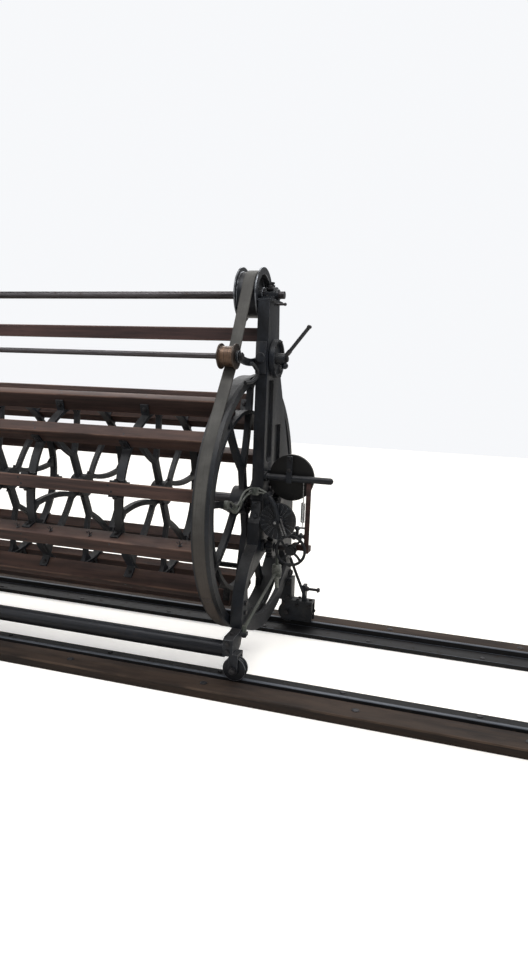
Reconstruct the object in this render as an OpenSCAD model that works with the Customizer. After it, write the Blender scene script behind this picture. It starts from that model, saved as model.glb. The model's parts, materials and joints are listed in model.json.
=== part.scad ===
// Horizontal warping reel on a wheeled carriage that runs along two floor rails.
// Origin: on the floor, midway between the rails and at mid length. +X runs along the reel.

/* [Track] */
// Length of each rail and of its timber sill
rail_len = 5800; // [5200:100:6400]
// Distance of a wheel line inside the band wheel's radius
wheel_in = 208; // [190:2:230]
// Width of a timber sill
sill_w = 150; // [120:5:180]
// Height of a timber sill
sill_h = 46; // [40:1:52]
// Width of the steel plate of a rail
plate_w = 158; // [140:2:180]
// Thickness of the steel plate of a rail
plate_t = 26; // [20:1:30]
// Width of the ridge that the wheels run on
ridge_w = 22; // [18:1:26]
// Height of the ridge above its plate
ridge_h = 34; // [30:1:40]
// Radius of a rail screw head
screw_r = 13; // [10:0.5:16]

/* [Truck wheels] */
// Radius of the wheel tread
tread_r = 50; // [46:1:54]
// Height of a wheel flange above the tread
wheel_flange = 10; // [7:1:12]
// Thickness of a wheel flange
wheel_flange_t = 10; // [8:1:12]
// Radius of a truck axle
axle_r = 10; // [8:0.5:12]
// Distance of the wheels' middle beyond the outer face of the end frame
wheel_off = 4; // [1:1:8]

/* [End frames] */
// Clear distance between the two end frames
frame_span = 2408; // [2400:2:2440]
// Thickness of an end frame
frame_t = 62; // [56:1:70]
// Distance of the column's front face from the reel axis
col_front = 120; // [110:2:140]
// Distance of the column's back face from the reel axis, at the top
col_back = 48; // [44:1:56]
// Distance of the column's top below the top shaft's axis
top_drop = 42; // [40:1:50]
// Height where the legs meet the feet
leg_foot_z = 330; // [320:2:340]
// Height of the arch between the legs
arch_h = 285; // [270:1:295]
// Width of a leg at its foot
leg_w = 84; // [76:2:92]
// Distance of the front leg's foot inside the wheel line
front_leg_in = 127; // [115:1:135]
// Distance of the rear leg's foot inside the wheel line
rear_leg_in = 6; // [2:1:14]
// Height of the front leg's outer curve
leg_rise = 362; // [350:2:375]
// Radial width of the bow that joins the legs under the arch
bow_w = 83; // [76:1:90]
// Thickness of the bow
bow_t = 22; // [16:1:30]
// How far the bow's outer edge lies outside the band wheel
bow_over = 7; // [4:1:10]
// Depth of the recessed panel in a column
panel_depth = 16; // [10:1:20]

/* [Feet and tubes] */
// Length of a front foot's box along the rail
foot_len = 53; // [48:1:56]
// Length of a front fork's arms along the rail
fork_len = 48; // [44:1:52]
// How far the front leg's lower end lies below the rear leg's
foot_drop = 48; // [40:1:52]
// Length of a rear truck along the rail
truck_len = 196; // [180:2:210]
// Thickness of a rear truck's top
truck_lid_t = 14; // [12:1:20]
// Thickness of the cheeks beside a wheel
cheek_t = 13; // [10:1:15]
// Radius of the low front tube
low_tube_r = 41; // [36:0.5:44]
// Height of the low front tube's axis
low_tube_z = 200; // [196:1:206]
// Radius of the rear tie rod
rear_rod_r = 17; // [12:1:22]
// Height of the rear tie rod's axis
rear_rod_z = 352; // [349:1:356]
// Height of the tie beam
tie_h = 70; // [60:2:80]
// Thickness of the tie beam
tie_t = 44; // [36:2:52]
// Distance of the tie beam's centre line below the top shaft's axis
tie_drop = 207; // [201:1:216]

/* [Reel] */
// Height of the band wheel's lowest point under the belt
band_low = 187; // [180:1:196]
// Outer radius of the reel over its slats
reel_r = 592; // [586:1:598]
// Width of a slat
slat_w = 66; // [58:1:74]
// Depth of a slat along the radius
slat_d = 92; // [84:1:98]
// Distance between neighbouring spiders
spider_pitch = 530; // [520:2:540]
// Place of the spider next to the band wheel
spider_first = 610; // [600:2:620]
// Length of the slats beyond the last spider
slat_end = 100; // [80:2:120]
// Width of a spider's rim
rim_w = 46; // [40:2:54]
// Radial thickness of a spider's rim
rim_t = 20; // [16:1:26]
// Thickness of a spider's arms
arm_t = 26; // [20:1:32]
// Radius of a spider's hub
hub_r = 68; // [60:1:76]
// Radius of the reel shaft
shaft_r = 30; // [26:1:34]
// Thickness of the lugs beside a slat
lug_t = 10; // [8:1:12]
// Height of the lugs beside a slat
lug_h = 58; // [46:2:66]

/* [Band wheel and belt] */
// Radius of the band wheel under the belt
band_r = 688; // [684:1:692]
// Width of the band wheel
band_w = 96; // [92:1:98]
// Radial thickness of the band wheel's rim
band_t = 32; // [26:1:36]
// Height of the edge flange of the band wheel
band_flange = 10; // [6:1:12]
// Width of the edge flange of the band wheel
band_flange_w = 22; // [16:1:24]
// Running gap between the band wheel and the end frame
band_gap = 8; // [7:0.5:10]
// Width of the drive belt
belt_w = 62; // [56:1:64]
// Thickness of the drive belt
belt_t = 6; // [4:0.5:7]

/* [Top shaft] */
// Height of the top shaft's axis above the band wheel
top_over = 423; // [421:1:431]
// Radius of the top shaft
top_shaft_r = 21; // [18:0.5:23]
// Length of the top shaft's turned-down drive end
drive_end = 24; // [20:1:30]
// How much smaller the radius of the drive end is
drive_step = 1; // [0.5:0.5:3]
// Radius of the top pulley's barrel
pulley_r = 120; // [112:1:122]
// Radius of the top pulley's flanges
pulley_flange_r = 145; // [138:1:147]
// Thickness of the top pulley's flanges
pulley_flange_t = 8; // [6:0.5:10]

/* [Belt tightener] */
// Height above the band wheel where the spool presses the belt
press_over = 74; // [62:1:87]
// How far the spool presses the belt in
press = 32; // [20:1:40]
// Radius of the spool's barrel
spool_r = 50; // [44:1:54]
// Radius of the spool's flanges
spool_flange_r = 63; // [58:1:68]
// Thickness of the spool's flanges
spool_flange_t = 8; // [6:0.5:9]
// Radius of the thin shaft that carries the spool
thin_r = 14; // [11:0.5:16]
// Thickness of a tightener arm
tight_arm_t = 12; // [10:0.5:13]
// Radius of the tightener's pivot
pivot_r = 16; // [13:0.5:18]
// Height of the tightener's pivot above the band wheel
pivot_over = 92; // [82:1:102]
// Radius of the set disc on the pivot
set_disc_r = 100; // [90:1:108]

/* [Hand gear] */
// Number of teeth on each gear
teeth = 20; // [16:2:24]
// Width of the hand gears
gear_w = 34; // [28:1:38]
// Distance of the hand wheel's axis below the reel axis
hand_drop = 225; // [219:1:231]
// Distance of the hand wheel's axis in front of the reel axis
hand_y = 78; // [74:1:82]
// Radius of the hand wheel
hand_r = 86; // [80:1:88]
// Distance of the hand wheel's axis beyond the outer face of the end frame
hand_off = 166; // [164:1:170]
// Radius of the ribbed guard
guard_r = 97; // [90:1:100]
// Radius of the hand wheel's shaft
hand_shaft_r = 15; // [12:0.5:17]
// Radius of the friction disc
disc_r = 124; // [112:1:130]
// Thickness of the friction disc
disc_t = 20; // [16:1:22]
// Height of the friction disc's axis above the reel axis
disc_rise = 157; // [151:1:165]
// Distance of the friction disc's axis beyond the outer face of the end frame
disc_off = 138; // [134:1:144]
// Radius of the cross bar
bar_r = 17.5; // [14:0.5:20]
// Length of the cross bar
bar_len = 372; // [350:2:400]

/* [Hidden] */
$fn = 64;
fit = 0.05;
gap = 0.3;
slat_count = 12;
slat_step = 360 / slat_count;
slat_phase = 20;
arm_step = 90;
iron = "#30343a";
steel = "#55585c";
dull = "#45474a";
timber = "#8a6f5a";
sill_wood = "#9a7350";
canvas = "#a8a299";
brass = "#8b6a3f";

half = frame_span / 2;
frame_out = half + frame_t;
wheel_x = frame_out + wheel_off;
hand_x = frame_out + hand_off;
disc_x = frame_out + disc_off;
line_y = band_r - wheel_in;
front_leg_y = line_y - front_leg_in;
front_foot_z = leg_foot_z - foot_drop;
foot_x0 = frame_out + 1 - foot_len;
foot_x1 = frame_out + 1;
rear_leg_y = line_y - rear_leg_in;
reel_z = band_r + band_low;
top_z = reel_z + band_r + top_over;
press_z = reel_z + band_r + press_over;
pivot_z = reel_z + band_r + pivot_over;
tie_z = top_z - tie_drop;
frame_top = top_z - top_drop;
hand_z = reel_z - hand_drop;
disc_z = reel_z + disc_rise;
plate_edge = line_y + plate_w / 8;
rail_top = plate_t + ridge_h;
axle_z = rail_top + gap + tread_r;
wheel_w = ridge_w + 2 * wheel_flange_t + 4;
cheek_in = wheel_w / 2 + 3;
cheek_out = cheek_in + cheek_t;
cap_t = 12;
cap_top = frame_top + cap_t;

rim_r = reel_r - slat_d;
rim_in = rim_r - rim_t;
band_right = half - band_gap;
band_left = band_right - band_w;
band_in = band_r - band_t;
band_arm_x = band_left;
belt_mid = band_right - band_flange_w - (band_w - band_flange_w) / 2 + 5;
belt_left = belt_mid - belt_w / 2;
reel_left = spider_first - 3 * spider_pitch - slat_end;
reel_right = band_arm_x;

belt_lift = top_z - reel_z;
belt_sin = (band_r - pulley_r) / belt_lift;
belt_cos = sqrt(1 - belt_sin * belt_sin);
belt_in = band_r + gap;
belt_out = belt_in + belt_t;
press_y = (belt_sin * (press_z - reel_z) - belt_in) / belt_cos;
bend_in = [press_y + press * belt_cos, press_z - press * belt_sin];
belt_side = [-belt_cos, belt_sin];
bend_out = bend_in + belt_t * belt_side;
spool_at = bend_out + 1.006 * (spool_r + gap) * belt_side;
spool_y = spool_at[0];
spool_z = spool_at[1];
pivot_y = -20;
tight_x = half - 5 - tight_arm_t;
barrel_half = belt_w / 2 + 4;
pulley_half = belt_w / 2 + 13;

gear_x = frame_out + 30;
gear_dist = sqrt(hand_y * hand_y + (reel_z - hand_z) * (reel_z - hand_z));
gear_pitch_r = gear_dist / 4;
gear_dir = atan2(hand_z - reel_z, -hand_y);
idler_y = -hand_y / 2;
idler_z = (reel_z + hand_z) / 2;
idler_pin_r = 14;
guard_x = disc_x - 37;
guard_y = -170;
guard_z = reel_z - 65;
mitre_r = 30;
mitre_in = 17;
tooth = 180 / teeth * gear_pitch_r / 57.2958;
bar_y = -95;
post_x = disc_x + 98;
disc_y = bar_y + bar_r + 8;

// Extrudes a shape drawn in (y, z) from x0 along +X.
module along_x(x0, len) {
    translate([x0, 0, 0]) rotate([90, 0, 90]) linear_extrude(len) children();
}

// A round bar along X.
module bar_x(r, x0, x1, y, z) {
    translate([x0, y, z]) rotate([0, 90, 0]) cylinder(r = r, h = x1 - x0);
}

// A round bar along Y.
module bar_y_dir(r, y0, y1, x, z) {
    translate([x, y0, z]) rotate([-90, 0, 0]) cylinder(r = r, h = y1 - y0);
}

// A round bar between two points.
module rod(p0, p1, r) {
    d = p1 - p0;
    translate(p0) rotate([0, acos(d[2] / norm(d)), atan2(d[1], d[0])]) cylinder(r = r, h = norm(d));
}

// A box between two corners.
module block(a, b) {
    translate(a) cube(b - a);
}

// Points beside an arc from p0 to p1 whose ends lean by bow degrees; off is the side offset.
function arc_side(p0, p1, bow, off, n) =
    let (len = norm(p1 - p0), e = (p1 - p0) / len, r = len / (2 * sin(bow)))
    [for (i = [0:n])
        let (s = -bow + 2 * bow * i / n,
             u = len / 2 + (r + off) * sin(s),
             v = (r + off) * cos(s) - r * cos(bow))
        [p0[0] + u * e[0] - v * e[1], p0[1] + u * e[1] + v * e[0]]];

// A curved strip of even width.
module strip(p0, p1, bow, w, n = 8) {
    near = arc_side(p0, p1, bow, -w / 2, n);
    far = arc_side(p0, p1, bow, w / 2, n);
    polygon(concat(near, [for (i = [n:-1:0]) far[i]]));
}

// Points of part of an ellipse.
function ellipse(c, a, b, t0, t1, n) =
    [for (i = [0:n]) let (t = t0 + (t1 - t0) * i / n) [c[0] + a * cos(t), c[1] + b * sin(t)]];

// Section of one rail: flat plate with a bevelled ridge, drawn for the front side.
module rail_section() {
    half_ridge = ridge_w / 2;
    bevel = 3;
    polygon([
        [-plate_edge, 0], [-plate_edge + plate_w, 0], [-plate_edge + plate_w, plate_t],
        [-line_y + half_ridge, plate_t], [-line_y + half_ridge, rail_top - bevel],
        [-line_y + half_ridge - bevel, rail_top], [-line_y - half_ridge + bevel, rail_top],
        [-line_y - half_ridge, rail_top - bevel], [-line_y - half_ridge, plate_t],
        [-plate_edge, plate_t]
    ]);
}

module rail() {
    color(dull) along_x(-rail_len / 2, rail_len) rail_section();
}

module sill() {
    bevel = 5;
    color(sill_wood) along_x(-rail_len / 2, rail_len) polygon([
        [-plate_edge - sill_w, 0], [-plate_edge, 0], [-plate_edge, sill_h],
        [-plate_edge - sill_w + bevel, sill_h], [-plate_edge - sill_w, sill_h - bevel]
    ]);
}

module sill_front() { sill(); }
module sill_rear() { mirror([0, 1, 0]) sill(); }
module rail_front() { rail(); }
module rail_rear() { mirror([0, 1, 0]) rail(); }

// Screw heads that hold the rail plates down.
module rail_screws() {
    pitch = 650;
    y = plate_edge - plate_w + 30;
    color(steel) for (side = [-1, 1]) for (x = [-rail_len / 2 + 150:pitch:rail_len / 2 - 100])
        translate([x, side * y, plate_t]) cylinder(r = screw_r, h = 7);
}

// Side outline of an end frame: a column on a curved front leg and a splayed rear leg.
module frame_outline() {
    front_out = front_leg_y + leg_w / 2;
    front_in = front_leg_y - leg_w / 2;
    rear_out = rear_leg_y + leg_w / 2;
    rear_in = rear_leg_y - leg_w / 2;
    shoulder = 176;
    polygon(concat(
        [[col_back, frame_top], [-col_front, frame_top], [-col_front, reel_z - 25], [-shoulder, reel_z - 85]],
        ellipse([-60, leg_foot_z], front_out - 60, leg_rise, 110, 180, 10),
        [[-front_out, front_foot_z], [-front_in, front_foot_z], [-front_in - 3, leg_foot_z + 117], [-front_in - 10, leg_foot_z + 152],
         [-front_in + 12, leg_foot_z + arch_h - 106], [-front_in + 86, leg_foot_z + arch_h - 74],
         [-front_in + 181, leg_foot_z + arch_h - 39]],
        ellipse([(rear_in - front_in) / 2, leg_foot_z], (rear_in + front_in) / 2, arch_h, 105, 0, 12),
        [[rear_out, leg_foot_z], [rear_out - 30, reel_z - 75], [rear_leg_y - 124, reel_z + 217],
         [rear_leg_y - 236, reel_z + 442], [col_back + 26, pivot_z - 4]]
    ));
}

// Flat bow round the underside of the band wheel, from the front leg to the rear leg.
module bow_outline() {
    front_in = front_leg_y - leg_w / 2;
    rear_in = rear_leg_y - leg_w / 2 + 12;
    r_out = band_r + bow_over;
    r_in = r_out - bow_w;
    front_edge = front_in - gap;
    polygon(concat(
        ellipse([0, reel_z], r_out, r_out, 180 + acos(front_edge / r_out), 360 - acos(rear_in / r_out), 22),
        ellipse([0, reel_z], r_in, r_in, 360 - acos(rear_in / r_in), 180 + acos((front_in - 131) / r_in), 20),
        [[-front_in + 85, leg_foot_z + 1], [-front_in + 25, leg_foot_z + 56], [-front_in - 2, leg_foot_z + 110],
         [-front_in - 16, leg_foot_z + 110], [-front_in - 16, front_foot_z + 2], [-front_edge, front_foot_z + 2]]
    ));
}

// Upright panel with a round lower end.
module panel_2d(y, w, z0, z1) {
    translate([y, z0 + w / 2]) circle(r = w / 2);
    translate([y - w / 2, z0 + w / 2]) square([w, z1 - z0 - w / 2]);
}

module end_frame() {
    boss_out = 24;
    hand_boss = 34;
    color(iron) difference() {
        union() {
            along_x(half, frame_t) frame_outline();
            along_x(frame_out - 1 - bow_t, bow_t) bow_outline();
            bar_x(shaft_r + 50, half - 4, frame_out + boss_out, 0, reel_z);
            bar_x(pivot_r + 22, half, frame_out + 4, pivot_y, pivot_z);
            block([half - 6, -col_front - 12, frame_top], [frame_out + 14, col_back + 14, cap_top]);
            block([half, -col_front - 10, reel_z - 45], [frame_out, -col_front + 10, frame_top]);
            bar_x(hand_boss, half, frame_out + 12, -hand_y, hand_z);
        }
        bar_x(shaft_r + fit, half - 20, frame_out + boss_out + 10, 0, reel_z);
        bar_x(pivot_r + fit, half - 20, frame_out + 30, pivot_y, pivot_z);
        bar_x(hand_shaft_r + fit, half - 20, frame_out + 30, -hand_y, hand_z);
        along_x(frame_out - panel_depth, panel_depth + 20) panel_2d(-50, 92, reel_z + 225, pivot_z - 115);
        along_x(half - 20, panel_depth + 20) panel_2d(-50, 92, reel_z + 225, pivot_z - 115);
        along_x(frame_out - panel_depth, panel_depth + 20) panel_2d(100, 110, reel_z + 25, reel_z + 425);
        along_x(half - 20, panel_depth + 20) panel_2d(100, 110, reel_z + 25, reel_z + 425);
    }
}

module frame_right() {
    end_frame();
    color(iron) bar_x(idler_pin_r, frame_out - 4, gear_x + gear_w + 8, idler_y, idler_z);
}

module frame_left() { mirror([1, 0, 0]) end_frame(); }

// Fork that holds one wheel: a block over the wheel with a cheek on each side.
module fork(x0, x1, top, low) {
    crown = axle_z + tread_r + wheel_flange + 8;
    difference() {
        union() {
            block([x0, -cheek_out, crown], [x1, cheek_out, top]);
            for (side = [-1, 1]) along_cheek(side, x0, x1, crown, low);
        }
        bar_y_dir(axle_r + fit, -cheek_out - 5, cheek_out + 5, wheel_x, axle_z);
    }
}

// One cheek of a fork with a round end at the axle; low is its lower edge above the axle.
module along_cheek(side, x0, x1, crown, low) {
    end_r = axle_r + 14;
    y0 = side > 0 ? cheek_in : -cheek_out;
    block([x0, y0, axle_z + low], [x1, y0 + cheek_t, crown]);
    bar_y_dir(end_r, y0, y0 + cheek_t, wheel_x, axle_z);
    if (low > 0)
        block([wheel_x - end_r, y0, axle_z], [wheel_x + end_r, y0 + cheek_t, axle_z + low]);
}

module foot() {
    crown = axle_z + tread_r + wheel_flange + 8;
    front = -line_y - cheek_out;
    back = -front_leg_y + leg_w / 2;
    color(iron) {
        translate([0, -line_y, 0]) fork(wheel_x - fork_len / 2, wheel_x + fork_len / 2, crown + 14, 1);
        along_x(foot_x0, foot_x1 - foot_x0) polygon([
            [front, crown], [front, front_foot_z - 20], [front + 18, front_foot_z - 9], [front + 92, front_foot_z - 7],
            [front + 118, front_foot_z], [back, front_foot_z], [back, front_foot_z - 16], [back - 78, front_foot_z - 46],
            [-line_y + cheek_out + 40, crown + 24], [-line_y + cheek_out, crown]
        ]);
        block([frame_out - 6, -front_leg_y - 52, front_foot_z - 32], [frame_out + 30, -front_leg_y - 22, front_foot_z - 14]);
    }
}

module foot_right() { foot(); }
module foot_left() { mirror([1, 0, 0]) foot(); }

// Rear truck: a long box over its wheel, with a flange under the leg and a slanting brace.
module truck() {
    x0 = half + 30;
    x1 = x0 + truck_len;
    crown = axle_z + tread_r + wheel_flange + 8;
    lid = crown + truck_lid_t;
    brace_r = 9;
    brace_y = line_y - 22;
    color(iron) {
        translate([0, line_y, 0]) fork(x0, x1, lid, rail_top + 6 - axle_z);
        block([half, rear_leg_y - leg_w / 2, lid], [frame_out + 30, rear_leg_y + leg_w / 2, leg_foot_z]);
        block([x1 - 70, line_y - 26, lid], [x1 - 50, line_y + 26, lid + 98]);
        rod([frame_out + brace_r, brace_y, leg_foot_z + 125], [x1 - 37, brace_y, lid - 8], brace_r);
    }
}

module truck_right() { truck(); }
module truck_left() { mirror([1, 0, 0]) truck(); }

module truck_axles() {
    color(steel) for (sx = [-1, 1]) for (sy = [-1, 1]) translate([sx * wheel_x, sy * line_y, axle_z])
        rotate([90, 0, 0]) translate([0, 0, -cheek_out]) {
            cylinder(r = axle_r, h = 2 * cheek_out);
            translate([0, 0, -6]) cylinder(r = axle_r + 5, h = 6);
            translate([0, 0, 2 * cheek_out]) cylinder(r = axle_r + 5, h = 6);
        }
}

module truck_wheel(sx, sy) {
    half_w = wheel_w / 2;
    groove = ridge_w / 2 + 2;
    color(iron) translate([sx * wheel_x, sy * line_y, axle_z]) rotate([90, 0, 0])
        rotate_extrude() polygon([
            [axle_r + fit, -half_w], [tread_r + wheel_flange, -half_w],
            [tread_r + wheel_flange, -groove - 4], [tread_r, -groove], [tread_r, groove],
            [tread_r + wheel_flange, groove + 4], [tread_r + wheel_flange, half_w],
            [axle_r + fit, half_w]
        ]);
}

module wheel_front_right() { truck_wheel(1, -1); }
module wheel_front_left() { truck_wheel(-1, -1); }
module wheel_rear_right() { truck_wheel(1, 1); }
module wheel_rear_left() { truck_wheel(-1, 1); }

module low_tube() {
    reach = foot_x0;
    wall = 5;
    color(steel) {
        difference() {
            bar_x(low_tube_r, -reach, reach, -line_y, low_tube_z);
            bar_x(low_tube_r - wall, -reach + 20, reach - 20, -line_y, low_tube_z);
        }
    }
}

module rear_tie_rod() {
    color(steel) bar_x(rear_rod_r, -half, half, rear_leg_y + leg_w / 4, rear_rod_z);
}

module tie_beam() {
    color("#4a3230")
        block([-half, -tie_t / 2, tie_z - tie_h / 2], [half, tie_t / 2, tie_z + tie_h / 2]);
}

// Angle on a circle where a line from p touches it; side is 1 or -1.
function touch(p, c, r, side) = atan2(p[1] - c[1], p[0] - c[0]) + side * acos(r / norm(p - c));

// Outline of the belt's path round both wheels, bent in at the spool.
module belt_outline(big, small, bend) {
    low = [0, reel_z];
    high = [0, top_z];
    rear = asin(belt_sin);
    polygon(concat(
        ellipse(low, big, big, touch(bend, low, big, 1), 360 + rear, 100),
        ellipse(high, small, small, rear, 360 + touch(bend, high, small, -1), 40),
        [bend]
    ));
}

module drive_belt() {
    color(canvas) along_x(belt_left, belt_w) difference() {
        belt_outline(belt_out, pulley_r + gap + belt_t, bend_out);
        belt_outline(belt_in, pulley_r + gap, bend_in);
    }
}

// Bearing block of the top shaft on a column.
module top_bearing() {
    block_r = top_shaft_r + 20;
    foot_w = 96;
    x0 = half + 2;
    x1 = frame_out - 2;
    color(iron) difference() {
        union() {
            bar_x(block_r, x0, x1, 0, top_z);
            block([x0, -block_r, cap_top], [x1, block_r, top_z]);
            block([x0, -foot_w, cap_top], [x1, block_r + 14, cap_top + 14]);
            bar_x(top_shaft_r + 8, x1, x1 + 12, 0, top_z);
        }
        bar_x(top_shaft_r + fit, x0 - 10, x1 + 30, 0, top_z);
        block([x0 - 10, -block_r - 120, cap_top - 60], [x1 + 10, block_r + 120, cap_top]);
    }
    color(steel) {
        translate([(x0 + x1) / 2, 0, top_z + block_r - 3]) cylinder(r = 9, h = 23);
        translate([(x0 + x1) / 2, 0, top_z + block_r + 16]) cylinder(r = 14, h = 9, $fn = 6);
    }
}

module bearing_right() { top_bearing(); }
module bearing_left() { mirror([1, 0, 0]) top_bearing(); }

// Bolt heads of the legs and the top bearings, and the clamp screws of the rear trucks.
module frame_bolts() {
    lug_x = half + 30 + truck_len - 50;
    lug_z = axle_z + tread_r + wheel_flange + 8 + truck_lid_t + 72;
    color(steel) for (side = [-1, 1]) {
        for (z = [leg_foot_z + 25, leg_foot_z + 75], y = [-front_leg_y, rear_leg_y])
            translate([side * frame_out, y + sign(y) * -4, z]) rotate([0, side * 90, 0])
                cylinder(r = 14, h = 10, $fn = 6);
        translate([side * (half + frame_t / 2), -78, cap_top + 14]) cylinder(r = 11, h = 9, $fn = 6);
        translate([side * lug_x, line_y, lug_z]) rotate([0, side * 90, 0]) {
            cylinder(r = 9, h = 72);
            cylinder(r = 16, h = 14, $fn = 6);
        }
    }
}

// Pair of curved bars beside the reel's hub, inside the band wheel.
module hub_stay() {
    x0 = band_arm_x + 58;
    color("#4b514b") {
        for (dz = [0, 30]) along_x(x0, 12) {
            strip([-30, reel_z + 30 + dz], [-230, reel_z - 26 + dz], 14, 13);
            strip([-228, reel_z - 26 + dz], [-400, reel_z + 36 + dz / 2], 18, 13);
            translate([-229, reel_z - 26 + dz]) circle(r = 7);
        }
        along_x(x0, 12) translate([-52, reel_z + 20]) square([20, 56]);
        bar_x(9, x0 + 12, half - 4, -42, reel_z + 58);
    }
}

// Bearing arm of the friction disc on the right column.
module disc_bracket() {
    y0 = disc_y + disc_t + 10;
    y1 = y0 + 60;
    shaft = 16;
    color(iron) difference() {
        union() {
            block([frame_out, y0, disc_z - 30], [disc_x, y1, disc_z + 30]);
            bar_y_dir(34, y0, y1, disc_x, disc_z);
        }
        bar_y_dir(shaft + fit, y0 - 10, y1 + 10, disc_x, disc_z);
    }
}

module friction_disc() {
    y0 = disc_y;
    shaft = 16;
    rear = disc_y + disc_t + 10 + 60;
    color(iron) {
        bar_y_dir(disc_r, y0, y0 + disc_t, disc_x, disc_z);
        bar_y_dir(34, y0 + disc_t, y0 + disc_t + 9.7, disc_x, disc_z);
        bar_y_dir(shaft, y0 + disc_t, rear + 14, disc_x, disc_z);
        bar_y_dir(shaft + 8, rear + gap, rear + 14, disc_x, disc_z);
    }
}

module cross_bar() {
    x1 = frame_out + bar_len;
    color(iron) {
        bar_x(bar_r, frame_out, x1 - bar_r, bar_y, disc_z);
        translate([x1 - bar_r, bar_y, disc_z]) sphere(r = bar_r);
        block([disc_x - 14, bar_y - bar_r - 5, disc_z - bar_r - 5], [disc_x + 14, bar_y - bar_r + 5, disc_z + disc_r - 6]);
        bar_x(bar_r + 9, frame_out, disc_x - disc_r - 2, bar_y, disc_z);
    }
}

// Hanger from the cross bar down to the rear bearing of the hand wheel's shaft.
module hanger_post() {
    post_w = 16;
    post_t = 22;
    y0 = -hand_y - 18;
    y1 = -hand_y + 34;
    shaft = 11;
    color("#3c2f28") difference() {
        union() {
            block([post_x, y0, hand_z - 16], [post_x + post_w, y0 + post_t, disc_z - bar_r + 4]);
            block([post_x, y0, hand_z - 16], [post_x + post_w, y1 + 24, hand_z + 16]);
            block([hand_x, y1, hand_z - 16], [post_x + post_w, y1 + 24, hand_z + 16]);
            bar_y_dir(24, y1, y1 + 28, hand_x, hand_z);
        }
        bar_y_dir(shaft + fit, y1 - 5, y1 + 40, hand_x, hand_z);
        bar_x(bar_r, post_x - 5, post_x + post_w + 5, bar_y, disc_z);
    }
}

// Slanting stay in the arch of the right frame, hung from a link with a round collar.
module stay_rod() {
    stay_r = 8;
    x = frame_out + 14;
    link_y = rear_leg_y - 325;
    link_z = leg_foot_z + arch_h + 61;
    link_len = 228;
    foot_at = [x, -front_leg_y - 37, front_foot_z + 8];
    hub_at = [x, link_y, link_z - link_len];
    color("#5b605a") {
        rod(foot_at, hub_at, stay_r);
        translate(foot_at - [0, 0, 22]) cylinder(r = stay_r + 4, h = 32);
        bar_x(stay_r + 8, frame_out, x + stay_r + 4, link_y, link_z);
        translate(hub_at - [0, 0, 42]) cylinder(r = stay_r + 9, h = 84);
        translate(hub_at) cylinder(r = stay_r, h = link_len);
    }
}

module reel_shaft() {
    color(steel) {
        bar_x(shaft_r, -frame_out - 42, gear_x + gear_w + 8, 0, reel_z);
        difference() {
            bar_x(shaft_r + 20, -half + 8, -half + 38, 0, reel_z);
            bar_x(shaft_r, -half, -half + 50, 0, reel_z);
        }
    }
}

// One slat of the reel, counted round from the first one behind the top.
module slat(k) {
    bevel = 4;
    half_w = slat_w / 2;
    color(timber) translate([0, 0, reel_z]) rotate([slat_phase + slat_step * k, 0, 0])
        along_x(reel_left, reel_right - reel_left) polygon([
            [rim_r, -half_w], [reel_r - bevel, -half_w], [reel_r, -half_w + bevel],
            [reel_r, half_w - bevel], [reel_r - bevel, half_w], [rim_r, half_w]
        ]);
}

module slat_01() { slat(0); }
module slat_02() { slat(1); }
module slat_03() { slat(2); }
module slat_04() { slat(3); }
module slat_05() { slat(4); }
module slat_06() { slat(5); }
module slat_07() { slat(6); }
module slat_08() { slat(7); }
module slat_09() { slat(8); }
module slat_10() { slat(9); }
module slat_11() { slat(10); }
module slat_12() { slat(11); }

// Rim of a spider with a saddle for each slat.
module rim_2d() {
    side = slat_w / 2;
    difference() {
        circle(r = rim_r - 2);
        circle(r = rim_in);
    }
    for (k = [0:slat_count - 1]) rotate(slat_phase + slat_step * k) {
        polygon([
            [rim_in + 6, -side - lug_t], [rim_r, -side - lug_t], [rim_r, side + lug_t],
            [rim_in + 6, side + lug_t]
        ]);
        for (s = [-1, 1]) translate([rim_r - 1, s * (side + lug_t / 2) - lug_t / 2])
            square([lug_h + 1, lug_t]);
    }
}

// Forked arms: two opposite arms fork far out, the other two close to the hub.
module arms_2d(out_r, stem_w, branch_w, phase, far_fork) {
    spread = 18;
    for (k = [0:3]) rotate(phase + arm_step * k) {
        fork_r = k % 2 == 0 ? 0.27 * out_r : far_fork * out_r;
        bow = k % 2 == 0 ? 15 : 11;
        translate([0, -stem_w / 2]) square([fork_r + 6, stem_w]);
        for (s = [0, 1]) mirror([0, s]) {
            strip([fork_r - 8, stem_w / 5], [out_r * cos(spread), out_r * sin(spread)], bow, branch_w);
            rotate(spread) polygon([
                [out_r - 44, -branch_w / 2 + 2], [out_r + 2, -branch_w / 2 - 30],
                [out_r + 2, branch_w / 2 + 30], [out_r - 44, branch_w / 2 - 2]
            ]);
        }
    }
}

module spider(index) {
    x = spider_first - index * spider_pitch;
    color(iron) translate([0, 0, reel_z]) difference() {
        union() {
            along_x(x - rim_w / 2, rim_w) rim_2d();
            along_x(x - arm_t / 2, arm_t) arms_2d(rim_in, 46, 29, slat_phase + 4, 0.46);
            bar_x(hub_r, x - 42, x + 42, 0, 0);
        }
        bar_x(shaft_r + fit, x - 60, x + 60, 0, 0);
    }
}

module spider_1() { spider(0); }
module spider_2() { spider(1); }
module spider_3() { spider(2); }
module spider_4() { spider(3); }

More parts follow.
